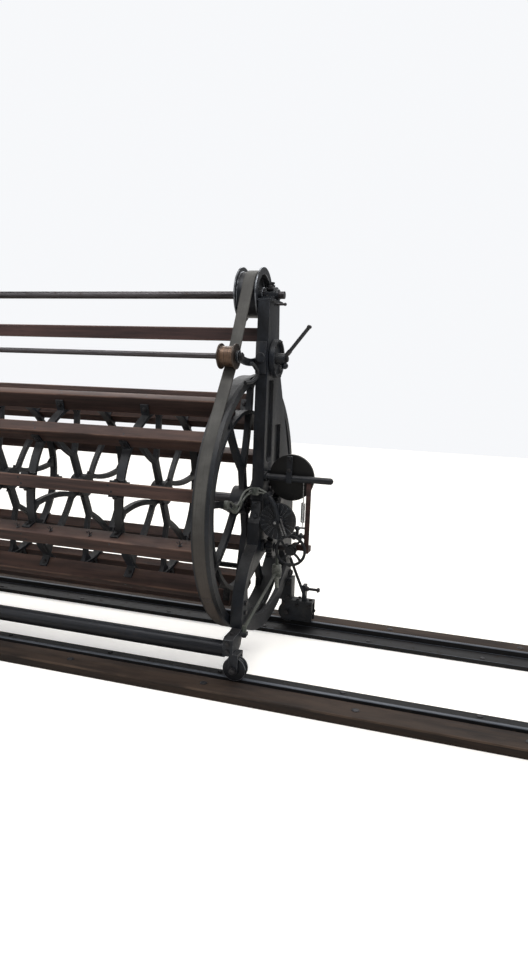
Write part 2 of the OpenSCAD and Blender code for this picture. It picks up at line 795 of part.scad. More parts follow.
module band_wheel() {
    arm = 32;
    seat_left = band_arm_x - 38;
    color(iron) translate([0, 0, reel_z]) difference() {
        union() {
            difference() {
                union() {
                    bar_x(band_r, band_left, band_right, 0, 0);
                    bar_x(band_r + band_flange, band_right - band_flange_w, band_right, 0, 0);
                }
                bar_x(band_in, band_left - 5, band_right + 5, 0, 0);
            }
            along_x(band_arm_x, arm) arms_2d(band_in, 50, 34, slat_phase - 6, 0.3);
            along_x(band_arm_x, arm) difference() {
                circle(r = rim_r);
                circle(r = rim_in);
            }
            along_x(seat_left, band_arm_x - seat_left) rim_2d();
            bar_x(hub_r + 10, seat_left, band_arm_x + arm + 12, 0, 0);
        }
        bar_x(shaft_r + fit, seat_left - 5, band_arm_x + arm + 20, 0, 0);
    }
}

// Toothed outline of the three equal gears.
module gear_2d() {
    root_r = gear_pitch_r - 0.8 * tooth;
    tip_r = gear_pitch_r + 0.65 * tooth;
    circle(r = root_r);
    for (k = [0:teeth - 1]) rotate(k * 360 / teeth) polygon([
        [root_r - 3, -0.4 * tooth], [root_r, -0.4 * tooth], [tip_r, -0.2 * tooth],
        [tip_r, 0.2 * tooth], [root_r, 0.4 * tooth], [root_r - 3, 0.4 * tooth]
    ]);
}

// A gear with a hub on each side, bored for its shaft.
module gear(bore_r, turn, back) {
    difference() {
        union() {
            along_x(gear_x, gear_w) rotate(turn) gear_2d();
            bar_x(bore_r + 12, gear_x - back, gear_x + gear_w + 4, 0, 0);
        }
        bar_x(bore_r + fit, gear_x - back - 5, gear_x + gear_w + 20, 0, 0);
    }
}

module reel_gear() {
    color(iron) translate([0, 0, reel_z]) gear(shaft_r, gear_dir, 4);
}

module idler_gear() {
    color(iron) translate([0, idler_y, idler_z]) gear(idler_pin_r, gear_dir + 180 + 180 / teeth, 6);
}

module hand_gear() {
    color(iron) translate([0, -hand_y, hand_z]) gear(hand_shaft_r, gear_dir, 12);
}

// Ribbed round guard in front of the gears, on an arm from the column.
module gear_guard() {
    guard_w = 20;
    color(iron) {
        translate([guard_x, guard_y, guard_z]) rotate([-90, 0, 0]) {
            cylinder(r = guard_r, h = guard_w);
            translate([0, 0, -6]) cylinder(r = 34, h = 8);
            translate([0, 0, -12]) cylinder(r = 14, h = 10);
            for (k = [0:19]) rotate([0, 0, 18 * k]) translate([40, -3, -4]) cube([guard_r - 46, 6, 6]);
            translate([0, 0, guard_w - 1]) cylinder(r = 22, h = 25);
        }
        block([frame_out, guard_y + guard_w + 18, guard_z - 17], [guard_x + 20, guard_y + guard_w + 42, guard_z + 17]);
    }
}

// Short shaft through the right frame, with the hand gear's seat and a plain mitre at its end.
module hand_shaft() {
    end = hand_x - mitre_in - gap;
    color(steel) {
        bar_x(hand_shaft_r, half - 4, end - 4, -hand_y, hand_z);
        translate([end - (mitre_r - mitre_in), -hand_y, hand_z]) rotate([0, 90, 0])
            cylinder(r1 = mitre_r, r2 = mitre_in, h = mitre_r - mitre_in);
        bar_x(mitre_r, end - (mitre_r - mitre_in) - 8, end - (mitre_r - mitre_in), -hand_y, hand_z);
    }
}

// Hand wheel that faces the front, on a cross shaft with the other mitre.
module hand_wheel() {
    y = -hand_y - mitre_in - gap;
    rim = 8;
    wheel_y = y - (mitre_r - mitre_in) - 8 - rim;
    shaft = 11;
    color(iron) translate([hand_x, 0, hand_z]) {
        bar_y_dir(shaft, wheel_y - 14, -10, 0, 0);
        translate([0, y - (mitre_r - mitre_in), 0]) rotate([-90, 0, 0])
            cylinder(r1 = mitre_r, r2 = mitre_in, h = mitre_r - mitre_in);
        bar_y_dir(mitre_r, wheel_y + rim, y - (mitre_r - mitre_in), 0, 0);
        translate([0, wheel_y, 0]) rotate([90, 0, 0]) {
            rotate_extrude() translate([hand_r - rim, 0]) circle(r = rim);
            translate([0, 0, -4]) linear_extrude(8) for (k = [0:3]) rotate(45 + 90 * k)
                strip([14, 0], [hand_r - rim + 1, 0], 22, 12, 6);
        }
        bar_y_dir(22, wheel_y - 10, wheel_y + rim + 2, 0, 0);
    }
}

// The shaft's right end is turned down by a small step, for the machine's drive.
module top_shaft() {
    shoulder_x = frame_out + 16;
    color(steel) {
        bar_x(top_shaft_r, -frame_out - 30, shoulder_x, 0, top_z);
        bar_x(top_shaft_r - drive_step, shoulder_x - 5, shoulder_x + drive_end, 0, top_z);
    }
}

module top_pulley() {
    x0 = belt_mid - pulley_half - 20 - pulley_flange_t;
    x1 = belt_mid + pulley_half + pulley_flange_t;
    color(iron) translate([0, 0, top_z]) difference() {
        union() {
            bar_x(pulley_r, x0, x1, 0, 0);
            bar_x(pulley_flange_r, x0, x0 + pulley_flange_t, 0, 0);
            bar_x(pulley_flange_r, x1 - pulley_flange_t, x1, 0, 0);
        }
        bar_x(top_shaft_r + fit, x0 - 5, x1 + 5, 0, 0);
        for (x = [x0 - 10, x1 - 34]) difference() {
            bar_x(pulley_r - 14, x, x + 44, 0, 0);
            bar_x(top_shaft_r + 20, x - 5, x + 50, 0, 0);
        }
    }
}

// One arm of the tightener with its pivot pin.
module tight_arm(pin_end) {
    color(iron) difference() {
        union() {
            along_x(tight_x, tight_arm_t) {
                strip([spool_y, spool_z], [pivot_y, pivot_z], -16, 38);
                translate([spool_y, spool_z]) circle(r = thin_r + 16);
                translate([pivot_y, pivot_z]) circle(r = pivot_r + 20);
            }
            bar_x(pivot_r, tight_x + tight_arm_t, pin_end, pivot_y, pivot_z);
        }
        bar_x(thin_r + fit, tight_x - 5, tight_x + 30, spool_y, spool_z);
    }
}

module tight_arm_right() { tight_arm(frame_out + 32); }
module tight_arm_left() { mirror([1, 0, 0]) tight_arm(frame_out + 10); }

module thin_shaft() {
    reach = tight_x + tight_arm_t + 4;
    color(steel) bar_x(thin_r, -reach, reach, spool_y, spool_z);
}

// Set disc and double lever on the outer end of the right pivot pin.
module set_lever() {
    x0 = frame_out + 4 + gap;
    hub = [x0 + 50, pivot_y, pivot_z];
    tip = hub + [132, 0, 168];
    color(iron) {
        difference() {
            union() {
                bar_x(set_disc_r, x0, x0 + 26, pivot_y, pivot_z);
                bar_x(pivot_r + 14, x0 + 6, x0 + 62, pivot_y, pivot_z);
            }
            bar_x(pivot_r + fit, x0 - 5, x0 + 28.3, pivot_y, pivot_z);
            difference() {
                bar_x(set_disc_r - 12, x0 + 8, x0 + 30, pivot_y, pivot_z);
                bar_x(pivot_r + 14, x0, x0 + 40, pivot_y, pivot_z);
            }
        }
        for (off = [-12, 12]) rod(hub + [0, off, 0], tip + [0, off, 0], 7);
        translate(hub + [8, 0, -36]) sphere(r = 18);
    }
}

module spool() {
    x0 = belt_mid - barrel_half - spool_flange_t;
    x1 = belt_mid + barrel_half + spool_flange_t;
    color(brass) translate([0, spool_y, spool_z]) difference() {
        union() {
            bar_x(spool_r, x0, x1, 0, 0);
            bar_x(spool_flange_r, x0, x0 + spool_flange_t, 0, 0);
            bar_x(spool_flange_r, x1 - spool_flange_t, x1, 0, 0);
        }
        bar_x(thin_r + fit, x0 - 5, x1 + 5, 0, 0);
    }
}

sill_front();
sill_rear();
rail_front();
rail_rear();
rail_screws();
frame_right();
frame_left();
foot_right();
foot_left();
truck_right();
truck_left();
truck_axles();
low_tube();
rear_tie_rod();
tie_beam();
drive_belt();
bearing_right();
bearing_left();
frame_bolts();
hub_stay();
disc_bracket();
cross_bar();
hanger_post();
stay_rod();
reel_shaft();
slat_01();
slat_02();
slat_03();
slat_04();
slat_05();
slat_06();
slat_07();
slat_08();
slat_09();
slat_10();
slat_11();
slat_12();
spider_1();
spider_2();
spider_3();
spider_4();
band_wheel();
reel_gear();
top_shaft();
top_pulley();
tight_arm_right();
tight_arm_left();
thin_shaft();
set_lever();
spool();
wheel_front_right();
wheel_front_left();
wheel_rear_right();
wheel_rear_left();
friction_disc();
hand_shaft();
hand_wheel();
hand_gear();
idler_gear();
gear_guard();
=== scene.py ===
"""Dresses the warping reel: rounds its castings, adds its small fittings and gives every surface a finish."""

from __future__ import annotations

import json
import logging
import math
from dataclasses import dataclass
from enum import Enum
from typing import Sequence

import bmesh
import bpy
from mathutils import Matrix, Vector


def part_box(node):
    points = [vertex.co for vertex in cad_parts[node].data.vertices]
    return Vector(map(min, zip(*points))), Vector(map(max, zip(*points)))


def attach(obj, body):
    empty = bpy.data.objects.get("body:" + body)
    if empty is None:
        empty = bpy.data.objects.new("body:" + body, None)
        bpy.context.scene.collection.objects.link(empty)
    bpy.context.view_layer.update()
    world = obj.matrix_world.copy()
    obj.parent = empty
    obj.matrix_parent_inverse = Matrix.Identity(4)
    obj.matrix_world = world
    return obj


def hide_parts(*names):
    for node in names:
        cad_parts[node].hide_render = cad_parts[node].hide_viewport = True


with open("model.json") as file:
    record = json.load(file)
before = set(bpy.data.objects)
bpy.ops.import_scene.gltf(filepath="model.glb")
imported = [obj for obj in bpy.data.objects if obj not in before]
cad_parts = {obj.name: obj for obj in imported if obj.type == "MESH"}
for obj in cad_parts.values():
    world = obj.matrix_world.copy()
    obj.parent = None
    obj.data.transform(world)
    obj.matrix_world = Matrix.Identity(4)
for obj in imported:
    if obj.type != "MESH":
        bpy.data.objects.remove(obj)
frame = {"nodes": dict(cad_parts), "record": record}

log = logging.getLogger("warping_reel")
Colour = tuple[float, float, float]
Point = tuple[float, float, float]
Outline = tuple[tuple[float, float], ...]
Places = tuple[float, float, int]

RIGHT, LEFT = (1, 0, 0), (-1, 0, 0)
REAR, FRONT = (0, 1, 0), (0, -1, 0)
UP = (0, 0, 1)
BOTH = (-1, 1)
RIB_PITCH = 0.0042
SHARP = math.radians(27)
FLAT = math.radians(0.7)
MERGE = 1e-6


def paint(red: int, green: int, blue: int) -> Colour:
    """Turns a colour as a screen shows it, from 0 to 255, into a linear one."""
    return tuple(((v / 255 + 0.055) / 1.055) ** 2.4 if v > 10 else v / 3294 for v in (red, green, blue))


def on_circle(turn: float, radius: float) -> tuple[float, float]:
    """Gives the point of a circle at an angle in degrees."""
    angle = math.radians(turn)
    return radius * math.cos(angle), radius * math.sin(angle)


class Slot(str, Enum):
    """The record's material slots."""

    IRON = "frame_iron"
    DISC = "disc_iron"
    SLAT = "slat_timber"
    SILL = "sill_timber"
    BEAM = "dark_timber"
    RAIL = "rail_steel"
    TUBE = "tube_steel"
    SHAFT = "shaft_steel"
    BOLT = "bolt_steel"
    GREEN = "grey_green_iron"
    BELT = "belt_canvas"
    SPOOL = "spool_brass"


class Body(str, Enum):
    """The bodies that the added pieces ride on."""

    TRACK = "track"
    CARRIAGE = "carriage"
    REEL = "reel"
    TOP = "top_drive"
    TIGHT = "tightener"


Coats = dict[Slot, bpy.types.Material]


# shading


@dataclass(frozen=True)
class Wire:
    """One output of a shader node, ready for use in a number expression."""

    tree: bpy.types.NodeTree
    socket: bpy.types.NodeSocket

    def _math(self, operation: str, other: Number, swap: bool = False) -> Wire:
        """Adds one Math node.

        Args:
            operation: the node's operation.
            other: the other number or wire.
            swap: whether the other value comes first.

        Returns:
            The node's result.
        """
        node = self.tree.nodes.new("ShaderNodeMath")
        node.operation = operation
        pair = (other, self) if swap else (self, other)
        for entry, value in zip(node.inputs, pair):
            join(self.tree, entry, value)
        return Wire(self.tree, node.outputs[0])

    def __add__(self, other: Number) -> Wire:
        """Adds."""
        return self._math("ADD", other)

    __radd__ = __add__

    def __sub__(self, other: Number) -> Wire:
        """Subtracts."""
        return self._math("SUBTRACT", other)

    def __rsub__(self, other: Number) -> Wire:
        """Subtracts from the other value."""
        return self._math("SUBTRACT", other, True)

    def __mul__(self, other: Number) -> Wire:
        """Multiplies."""
        return self._math("MULTIPLY", other)

    __rmul__ = __mul__

    def top(self, other: Number) -> Wire:
        """Takes the larger of two values."""
        return self._math("MAXIMUM", other)

    def sine(self) -> Wire:
        """Takes the sine."""
        return self._math("SINE", 0.0)

    def absolute(self) -> Wire:
        """Drops the sign."""
        return self._math("ABSOLUTE", 0.0)


Number = Wire | float
Value = Wire | float | Colour
Values = dict[object, object] | None


def join(tree: bpy.types.NodeTree, entry: bpy.types.NodeSocket, value: Value) -> None:
    """Links a wire to an input socket, or writes a plain value on it.

    Args:
        tree: the node tree.
        entry: the input socket.
        value: a wire or a plain value.
    """
    if isinstance(value, Wire):
        tree.links.new(value.socket, entry)
    elif isinstance(value, tuple):
        entry.default_value = (*value, 1.0) if len(entry.default_value) == 4 else value
    else:
        entry.default_value = value


class Graph:
    """A node tree that is being built."""

    def __init__(self, tree: bpy.types.NodeTree) -> None:
        """Empties the tree."""
        self.tree = tree
        tree.nodes.clear()

    def add(self, kind: str, settings: Values = None, inputs: Values = None) -> bpy.types.Node:
        """Adds any node.

        Args:
            kind: the node's type.
            settings: properties that are set first.
            inputs: values or wires by socket name or number.

        Returns:
            The node.
        """
        made = self.tree.nodes.new(kind)
        for key, value in (settings or {}).items():
            setattr(made, key, value)
        for key, value in (inputs or {}).items():
            join(self.tree, made.inputs[key], value)
        return made

    def node(self, kind: str, settings: Values = None, inputs: Values = None, output: object = 0) -> Wire:
        """Adds any node and returns the output that is named or numbered."""
        return Wire(self.tree, self.add(kind, settings, inputs).outputs[output])


class Coat(Graph):
    """A material that is being built around one Principled shader."""

    def __init__(self, name: str) -> None:
        """Makes an empty material with its shader and output.

        Args:
            name: the material's name.
        """
        self.material = bpy.data.materials.new(name)
        self.material.use_nodes = True
        super().__init__(self.material.node_tree)
        self.shader = self.add("ShaderNodeBsdfPrincipled")
        self.add("ShaderNodeOutputMaterial", inputs={0: Wire(self.tree, self.shader.outputs[0])})
        self.place = self.node("ShaderNodeTexCoord", output="Object")
        self.facing = self.node("ShaderNodeTexCoord", output="Normal")

    def noise(self, scale: float, stretch: Point = (1.0, 1.0, 1.0), detail: float = 4.0, rough: float = 0.55) -> Wire:
        """Makes a noise value.

        Args:
            scale: features per metre.
            stretch: how the coordinates are scaled first.
            detail: the number of octaves.
            rough: the weight of the fine octaves.

        Returns:
            A value from 0 to 1.
        """
        place = self.node("ShaderNodeMapping", inputs={"Vector": self.place, "Scale": stretch})
        inputs = {"Vector": place, "Scale": scale, "Detail": detail, "Roughness": rough}
        return self.node("ShaderNodeTexNoise", inputs=inputs)

    def fade(self, value: Wire, low: float, high: float) -> Wire:
        """Goes smoothly from 0 at low to 1 at high."""
        inputs = {"Value": value, "From Min": low, "From Max": high, "To Min": 0.0, "To Max": 1.0}
        return self.node("ShaderNodeMapRange", {"interpolation_type": "SMOOTHSTEP"}, inputs)

    def blend(self, factor: Number, first: Value, second: Value) -> Wire:
        """Mixes two colours, of which a plain one is given as a screen shows it."""
        ends = [paint(*end) if isinstance(end, tuple) else end for end in (first, second)]
        return self.node("ShaderNodeMix", {"data_type": "RGBA"}, {0: factor, 6: ends[0], 7: ends[1]}, 2)

    def part(self, vector: Wire, axis: str) -> Wire:
        """Takes one coordinate of a vector."""
        return self.node("ShaderNodeSeparateXYZ", inputs={0: vector}, output=axis)

    def worn(self) -> Wire:
        """Reads the piece's own edge wear, which on the bent rods and the collar binding is a painted highlight."""
        return self.node("ShaderNodeAttribute", {"attribute_name": "wear_and_highlight"}, output="Fac")

    def finish(
        self, colour: Value, rough: Value, metal: Value = 0.0, height: Wire | None = None,
        depth: float = 0.001, gloss: float = 0.5,
    ) -> bpy.types.Material:
        """Connects the shader.

        Args:
            colour: the base colour.
            rough: the roughness.
            metal: the metallic value.
            height: the relief, from 0 to 1.
            depth: the relief's depth in metres.
            gloss: the specular level, 0.5 for a plain varnish.

        Returns:
            The finished material.
        """
        for name, value in (("Base Color", colour), ("Roughness", rough), ("Metallic", metal)):
            join(self.tree, self.shader.inputs[name], value)
        self.shader.inputs["Specular IOR Level"].default_value = gloss
        if height is not None:
            bump = self.node("ShaderNodeBump", inputs={"Strength": 0.8, "Distance": depth, "Height": height})
            join(self.tree, self.shader.inputs["Normal"], bump)
        return self.material


@dataclass(frozen=True)
class OldIron:
    """Old dark paint on cast iron, with dust on what faces up and bare metal on rubbed edges; on pieces given a wear
    value all over, the bare metal is a painted highlight.
    """

    name: str
    dark: Colour
    light: Colour
    dust: Colour
    bare: Colour
    shine: float = 0.42
    dusty: float = 0.55

    def make(self) -> bpy.types.Material:
        """Builds the material.

        Returns:
            The finished material.
        """
        coat = Coat(self.name)
        cloud = coat.noise(5.0, detail=5.0)
        fine = coat.noise(70.0, detail=6.0, rough=0.6)
        streak = coat.noise(9.0, (1.6, 1.6, 0.25), 5.0)
        up = coat.fade(coat.part(coat.facing, "Z"), 0.15, 0.95)
        body = coat.blend(coat.fade(cloud * 0.6 + fine * 0.4, 0.35, 0.68), self.dark, self.light)
        grime = coat.fade(streak, 0.52, 0.75) * 0.35
        body = coat.blend(grime, body, self.dust)
        lying = up * coat.fade(fine * 0.5 + cloud * 0.5, 0.3, 0.62) * self.dusty
        body = coat.blend(lying, body, self.dust)
        # bare metal on worn edges; on the bent rods and the collar binding, worn all over, the bare colour is a painted
        # highlight
        rubbed = coat.worn() * coat.fade(coat.noise(22.0, detail=5.0), 0.34, 0.54)
        body = coat.blend(rubbed * 0.85, body, self.bare)
        rough = fine * 0.25 + lying * 0.35 + self.shine - rubbed * 0.12
        return coat.finish(body, rough, rubbed * 0.5, fine * 0.6 + coat.noise(260.0) * 0.4, 0.0011, 0.36)


@dataclass(frozen=True)
class Timber:
    """Old timber with its grain along X, dents, oily stains, paler rubbed edges and a painted highlight that makes its
    upward faces paler.
    """

    name: str
    dark: Colour
    middle: Colour
    pale: Colour
    stain: float = 0.5
    shine: float = 0.5

    def make(self) -> bpy.types.Material:
        """Builds the material.

        Returns:
            The finished material.
        """
        coat = Coat(self.name)
        warp = coat.noise(1.4, (1.0, 3.0, 3.0), 2.0)
        lines = coat.noise(34.0, (0.045, 1.0, 1.0), 8.0, 0.62)
        pores = coat.noise(190.0, (0.06, 1.0, 1.0), 3.0)
        patch = coat.noise(3.2, (0.5, 1.6, 1.6), 5.0)
        grain = coat.fade(lines * 0.7 + warp * 0.3, 0.34, 0.66)
        body = coat.blend(grain, self.dark, self.middle)
        body = coat.blend(coat.fade(pores, 0.56, 0.72) * 0.55, body, self.dark)
        # painted highlight: faces that point up are blended towards the pale colour, as light from above shows them;
        # the worn edges beside them are real wear
        up = coat.fade(coat.part(coat.facing, "Z"), 0.3, 0.95)
        rubbed = (coat.worn() * 0.8).top(up * 0.35) * coat.fade(coat.noise(11.0, (0.3, 1.0, 1.0)), 0.34, 0.6)
        body = coat.blend(rubbed, body, self.pale)
        body = coat.blend(coat.fade(patch, 0.5, 0.74) * self.stain, body, self.dark)
        rough = lines * 0.3 + pores * 0.12 + self.shine
        return coat.finish(body, rough, 0.0, lines * 0.65 + pores * 0.35, 0.0012, 0.28)


@dataclass(frozen=True)
class Steel:
    """Old bar or plate steel with an oily film; the rail also has a bright rubbed ridge."""

    name: str
    film: Colour
    clean: Colour
    rust: Colour
    metal: float = 0.6
    shine: float = 0.34
    stretch: Point = (1.0, 1.0, 1.0)
    ridge: float = 0.0
    glint: Colour = (156, 157, 158)

    def make(self) -> bpy.types.Material:
        """Builds the material.

        Returns:
            The finished material.
        """
        coat = Coat(self.name)
        patch = coat.noise(6.0, self.stretch, 6.0, 0.6)
        fine = coat.noise(120.0, self.stretch, 4.0)
        body = coat.blend(coat.fade(patch * 0.6 + fine * 0.4, 0.36, 0.64), self.film, self.clean)
        spots = coat.fade(coat.noise(26.0, detail=6.0, rough=0.65), 0.56, 0.7)
        body = coat.blend(spots * 0.45, body, self.rust)
        rough = fine * 0.22 + spots * 0.25 + self.shine
        bright = coat.worn() * coat.fade(patch, 0.3, 0.55) * 0.7
        if self.ridge > 0:
            top = coat.fade(coat.part(coat.place, "Z"), self.ridge - 0.004, self.ridge - 0.001)
            scuff = coat.noise(40.0, (0.05, 1.0, 1.0), 4.0)
            bright = bright.top(top * (scuff * 0.5 + 0.5))
        body = coat.blend(bright, body, self.glint)
        return coat.finish(body, rough - bright * 0.2, self.metal, fine, 0.0006, 0.32)


@dataclass(frozen=True)
class Belting:
    """Woven belting: dull olive grey, ribbed along its run, dark and frayed at its two edges, with painted light
    tinting it browner low down.
    """

    name: str
    middle: float
    half: float

    def make(self) -> bpy.types.Material:
        """Builds the material.

        Returns:
            The finished material.
        """
        coat = Coat(self.name)
        across = coat.part(coat.place, "X")
        ribs = (across * (2 * math.pi / RIB_PITCH)).sine() * 0.5 + 0.5
        weave = coat.noise(420.0, (1.6, 1.0, 1.0), 2.0)
        patch = coat.noise(4.0, detail=6.0, rough=0.6)
        run = coat.noise(24.0, (8.0, 0.25, 0.25), 4.0)
        body = coat.blend(coat.fade(patch, 0.36, 0.66), (54, 53, 51), (80, 79, 76))
        # painted light: the belt is tinted browner towards its bottom, by height alone
        low = (1 - coat.fade(coat.part(coat.place, "Z"), 0.25, 1.0)) * 0.85
        body = coat.blend(low, body, (68, 57, 51))
        body = coat.blend(coat.fade(run, 0.5, 0.7) * 0.5, body, (50, 47, 43))
        body = coat.blend((1 - ribs) * 0.3 + coat.fade(weave, 0.5, 0.75) * 0.2, body, (46, 44, 40))
        reach = (across - self.middle).absolute() * (1 / self.half)
        edge = coat.fade(reach + (patch - 0.5) * 0.1, 0.8, 1.0)
        body = coat.blend(edge * 0.75, body, (34, 31, 28))
        return coat.finish(body, weave * 0.15 + 0.72, 0.0, ribs * 0.5 + weave * 0.5, 0.0012)


@dataclass(frozen=True)
class Turned:
    """A turned brown spool with fine rings, a rubbed bright barrel and dark greasy ends."""

    name: str
    middle: float
    half: float

    def make(self) -> bpy.types.Material:
        """Builds the material.

        Returns:
            The finished material.
        """
        coat = Coat(self.name)
        rings = coat.noise(420.0, (1.0, 0.02, 0.02), 4.0)
        patch = coat.noise(16.0, detail=5.0)
        body = coat.blend(coat.fade(rings, 0.35, 0.65), (58, 44, 36), (112, 88, 70))
        body = coat.blend(coat.fade(patch, 0.5, 0.7) * 0.6, body, (38, 33, 29))
        reach = (coat.part(coat.place, "X") - self.middle).absolute() * (1 / self.half)
        body = coat.blend(coat.fade(reach, 0.72, 0.86) * 0.85, body, (34, 29, 27))
        body = coat.blend(coat.worn() * 0.35, body, (112, 98, 86))
        return coat.finish(body, rings * 0.2 + patch * 0.15 + 0.25, 0.55, rings, 0.0004)


def finishes() -> Coats:
    """Makes one material for each slot.

    Returns:
        The materials by slot.
    """
    styles = {
        Slot.IRON: OldIron(
            "old_black_iron", (8, 10, 14), (23, 28, 36), (60, 56, 52), (134, 137, 142), shine=0.36, dusty=0.34
        ),
        Slot.DISC: OldIron("black_disc_iron", (3, 3, 3), (8, 8, 9), (26, 25, 24), (60, 60, 62), shine=0.4, dusty=0.2),
        Slot.GREEN: OldIron(
            "grey_green_iron", (40, 45, 41), (76, 82, 75), (94, 90, 82), (150, 152, 146), shine=0.34, dusty=0.4
        ),
        Slot.SLAT: Timber("slat_wood", (32, 23, 22), (72, 52, 46), (102, 78, 67), stain=0.55, shine=0.42),
        Slot.SILL: Timber("sill_wood", (24, 18, 15), (48, 37, 30), (76, 61, 50), stain=0.65, shine=0.6),
        Slot.BEAM: Timber("beam_wood", (34, 22, 22), (66, 45, 42), (94, 72, 66), stain=0.5, shine=0.46),
        Slot.RAIL: Steel(
            "rail_metal", (10, 10, 11), (22, 21, 23), (50, 39, 28), metal=0.3, shine=0.44,
            stretch=(0.12, 1.0, 1.0), ridge=0.06, glint=(88, 93, 101),
        ),
        Slot.TUBE: Steel(
            "tube_metal", (12, 13, 17), (28, 30, 36), (46, 41, 37), metal=0.3, shine=0.32, stretch=(0.1, 1.0, 1.0)
        ),
        Slot.SHAFT: Steel(
            "shaft_metal", (38, 36, 38), (74, 71, 73), (60, 46, 38), metal=0.6, shine=0.28, stretch=(0.1, 1.0, 1.0)
        ),
        Slot.BOLT: Steel("bolt_metal", (26, 26, 28), (60, 59, 61), (58, 44, 35), metal=0.45, shine=0.38),
        Slot.BELT: Belting("belt_weave", *along("drive_belt")),
        Slot.SPOOL: Turned("turned_spool", *along("spool")),
    }
    return {slot: style.make() for slot, style in styles.items()}


# shaping


def show(name: str, data: bpy.types.ID) -> bpy.types.Object:
    """Puts an object with this data in the scene.

    Args:
        name: the object's name.
        data: its mesh, curve, light or camera.

    Returns:
        The object.
    """
    made = bpy.data.objects.new(name, data)
    bpy.context.scene.collection.objects.link(made)
    return made


def soften(mesh: bmesh.types.BMesh, edges: list[bmesh.types.BMEdge], offset: float) -> Sequence[bmesh.types.BMFace]:
    """Rounds edges in two steps and gives the new faces.

    Args:
        mesh: the mesh that the edges belong to.
        edges: the edges.
        offset: how far each edge is cut back.

    Returns:
        The new faces.
    """
    made = bmesh.ops.bevel(
        mesh, geom=edges, offset=offset, offset_type="OFFSET", affect="EDGES", segments=2, profile=0.5,
        clamp_overlap=True, material=-1,
    )
    return made["faces"]


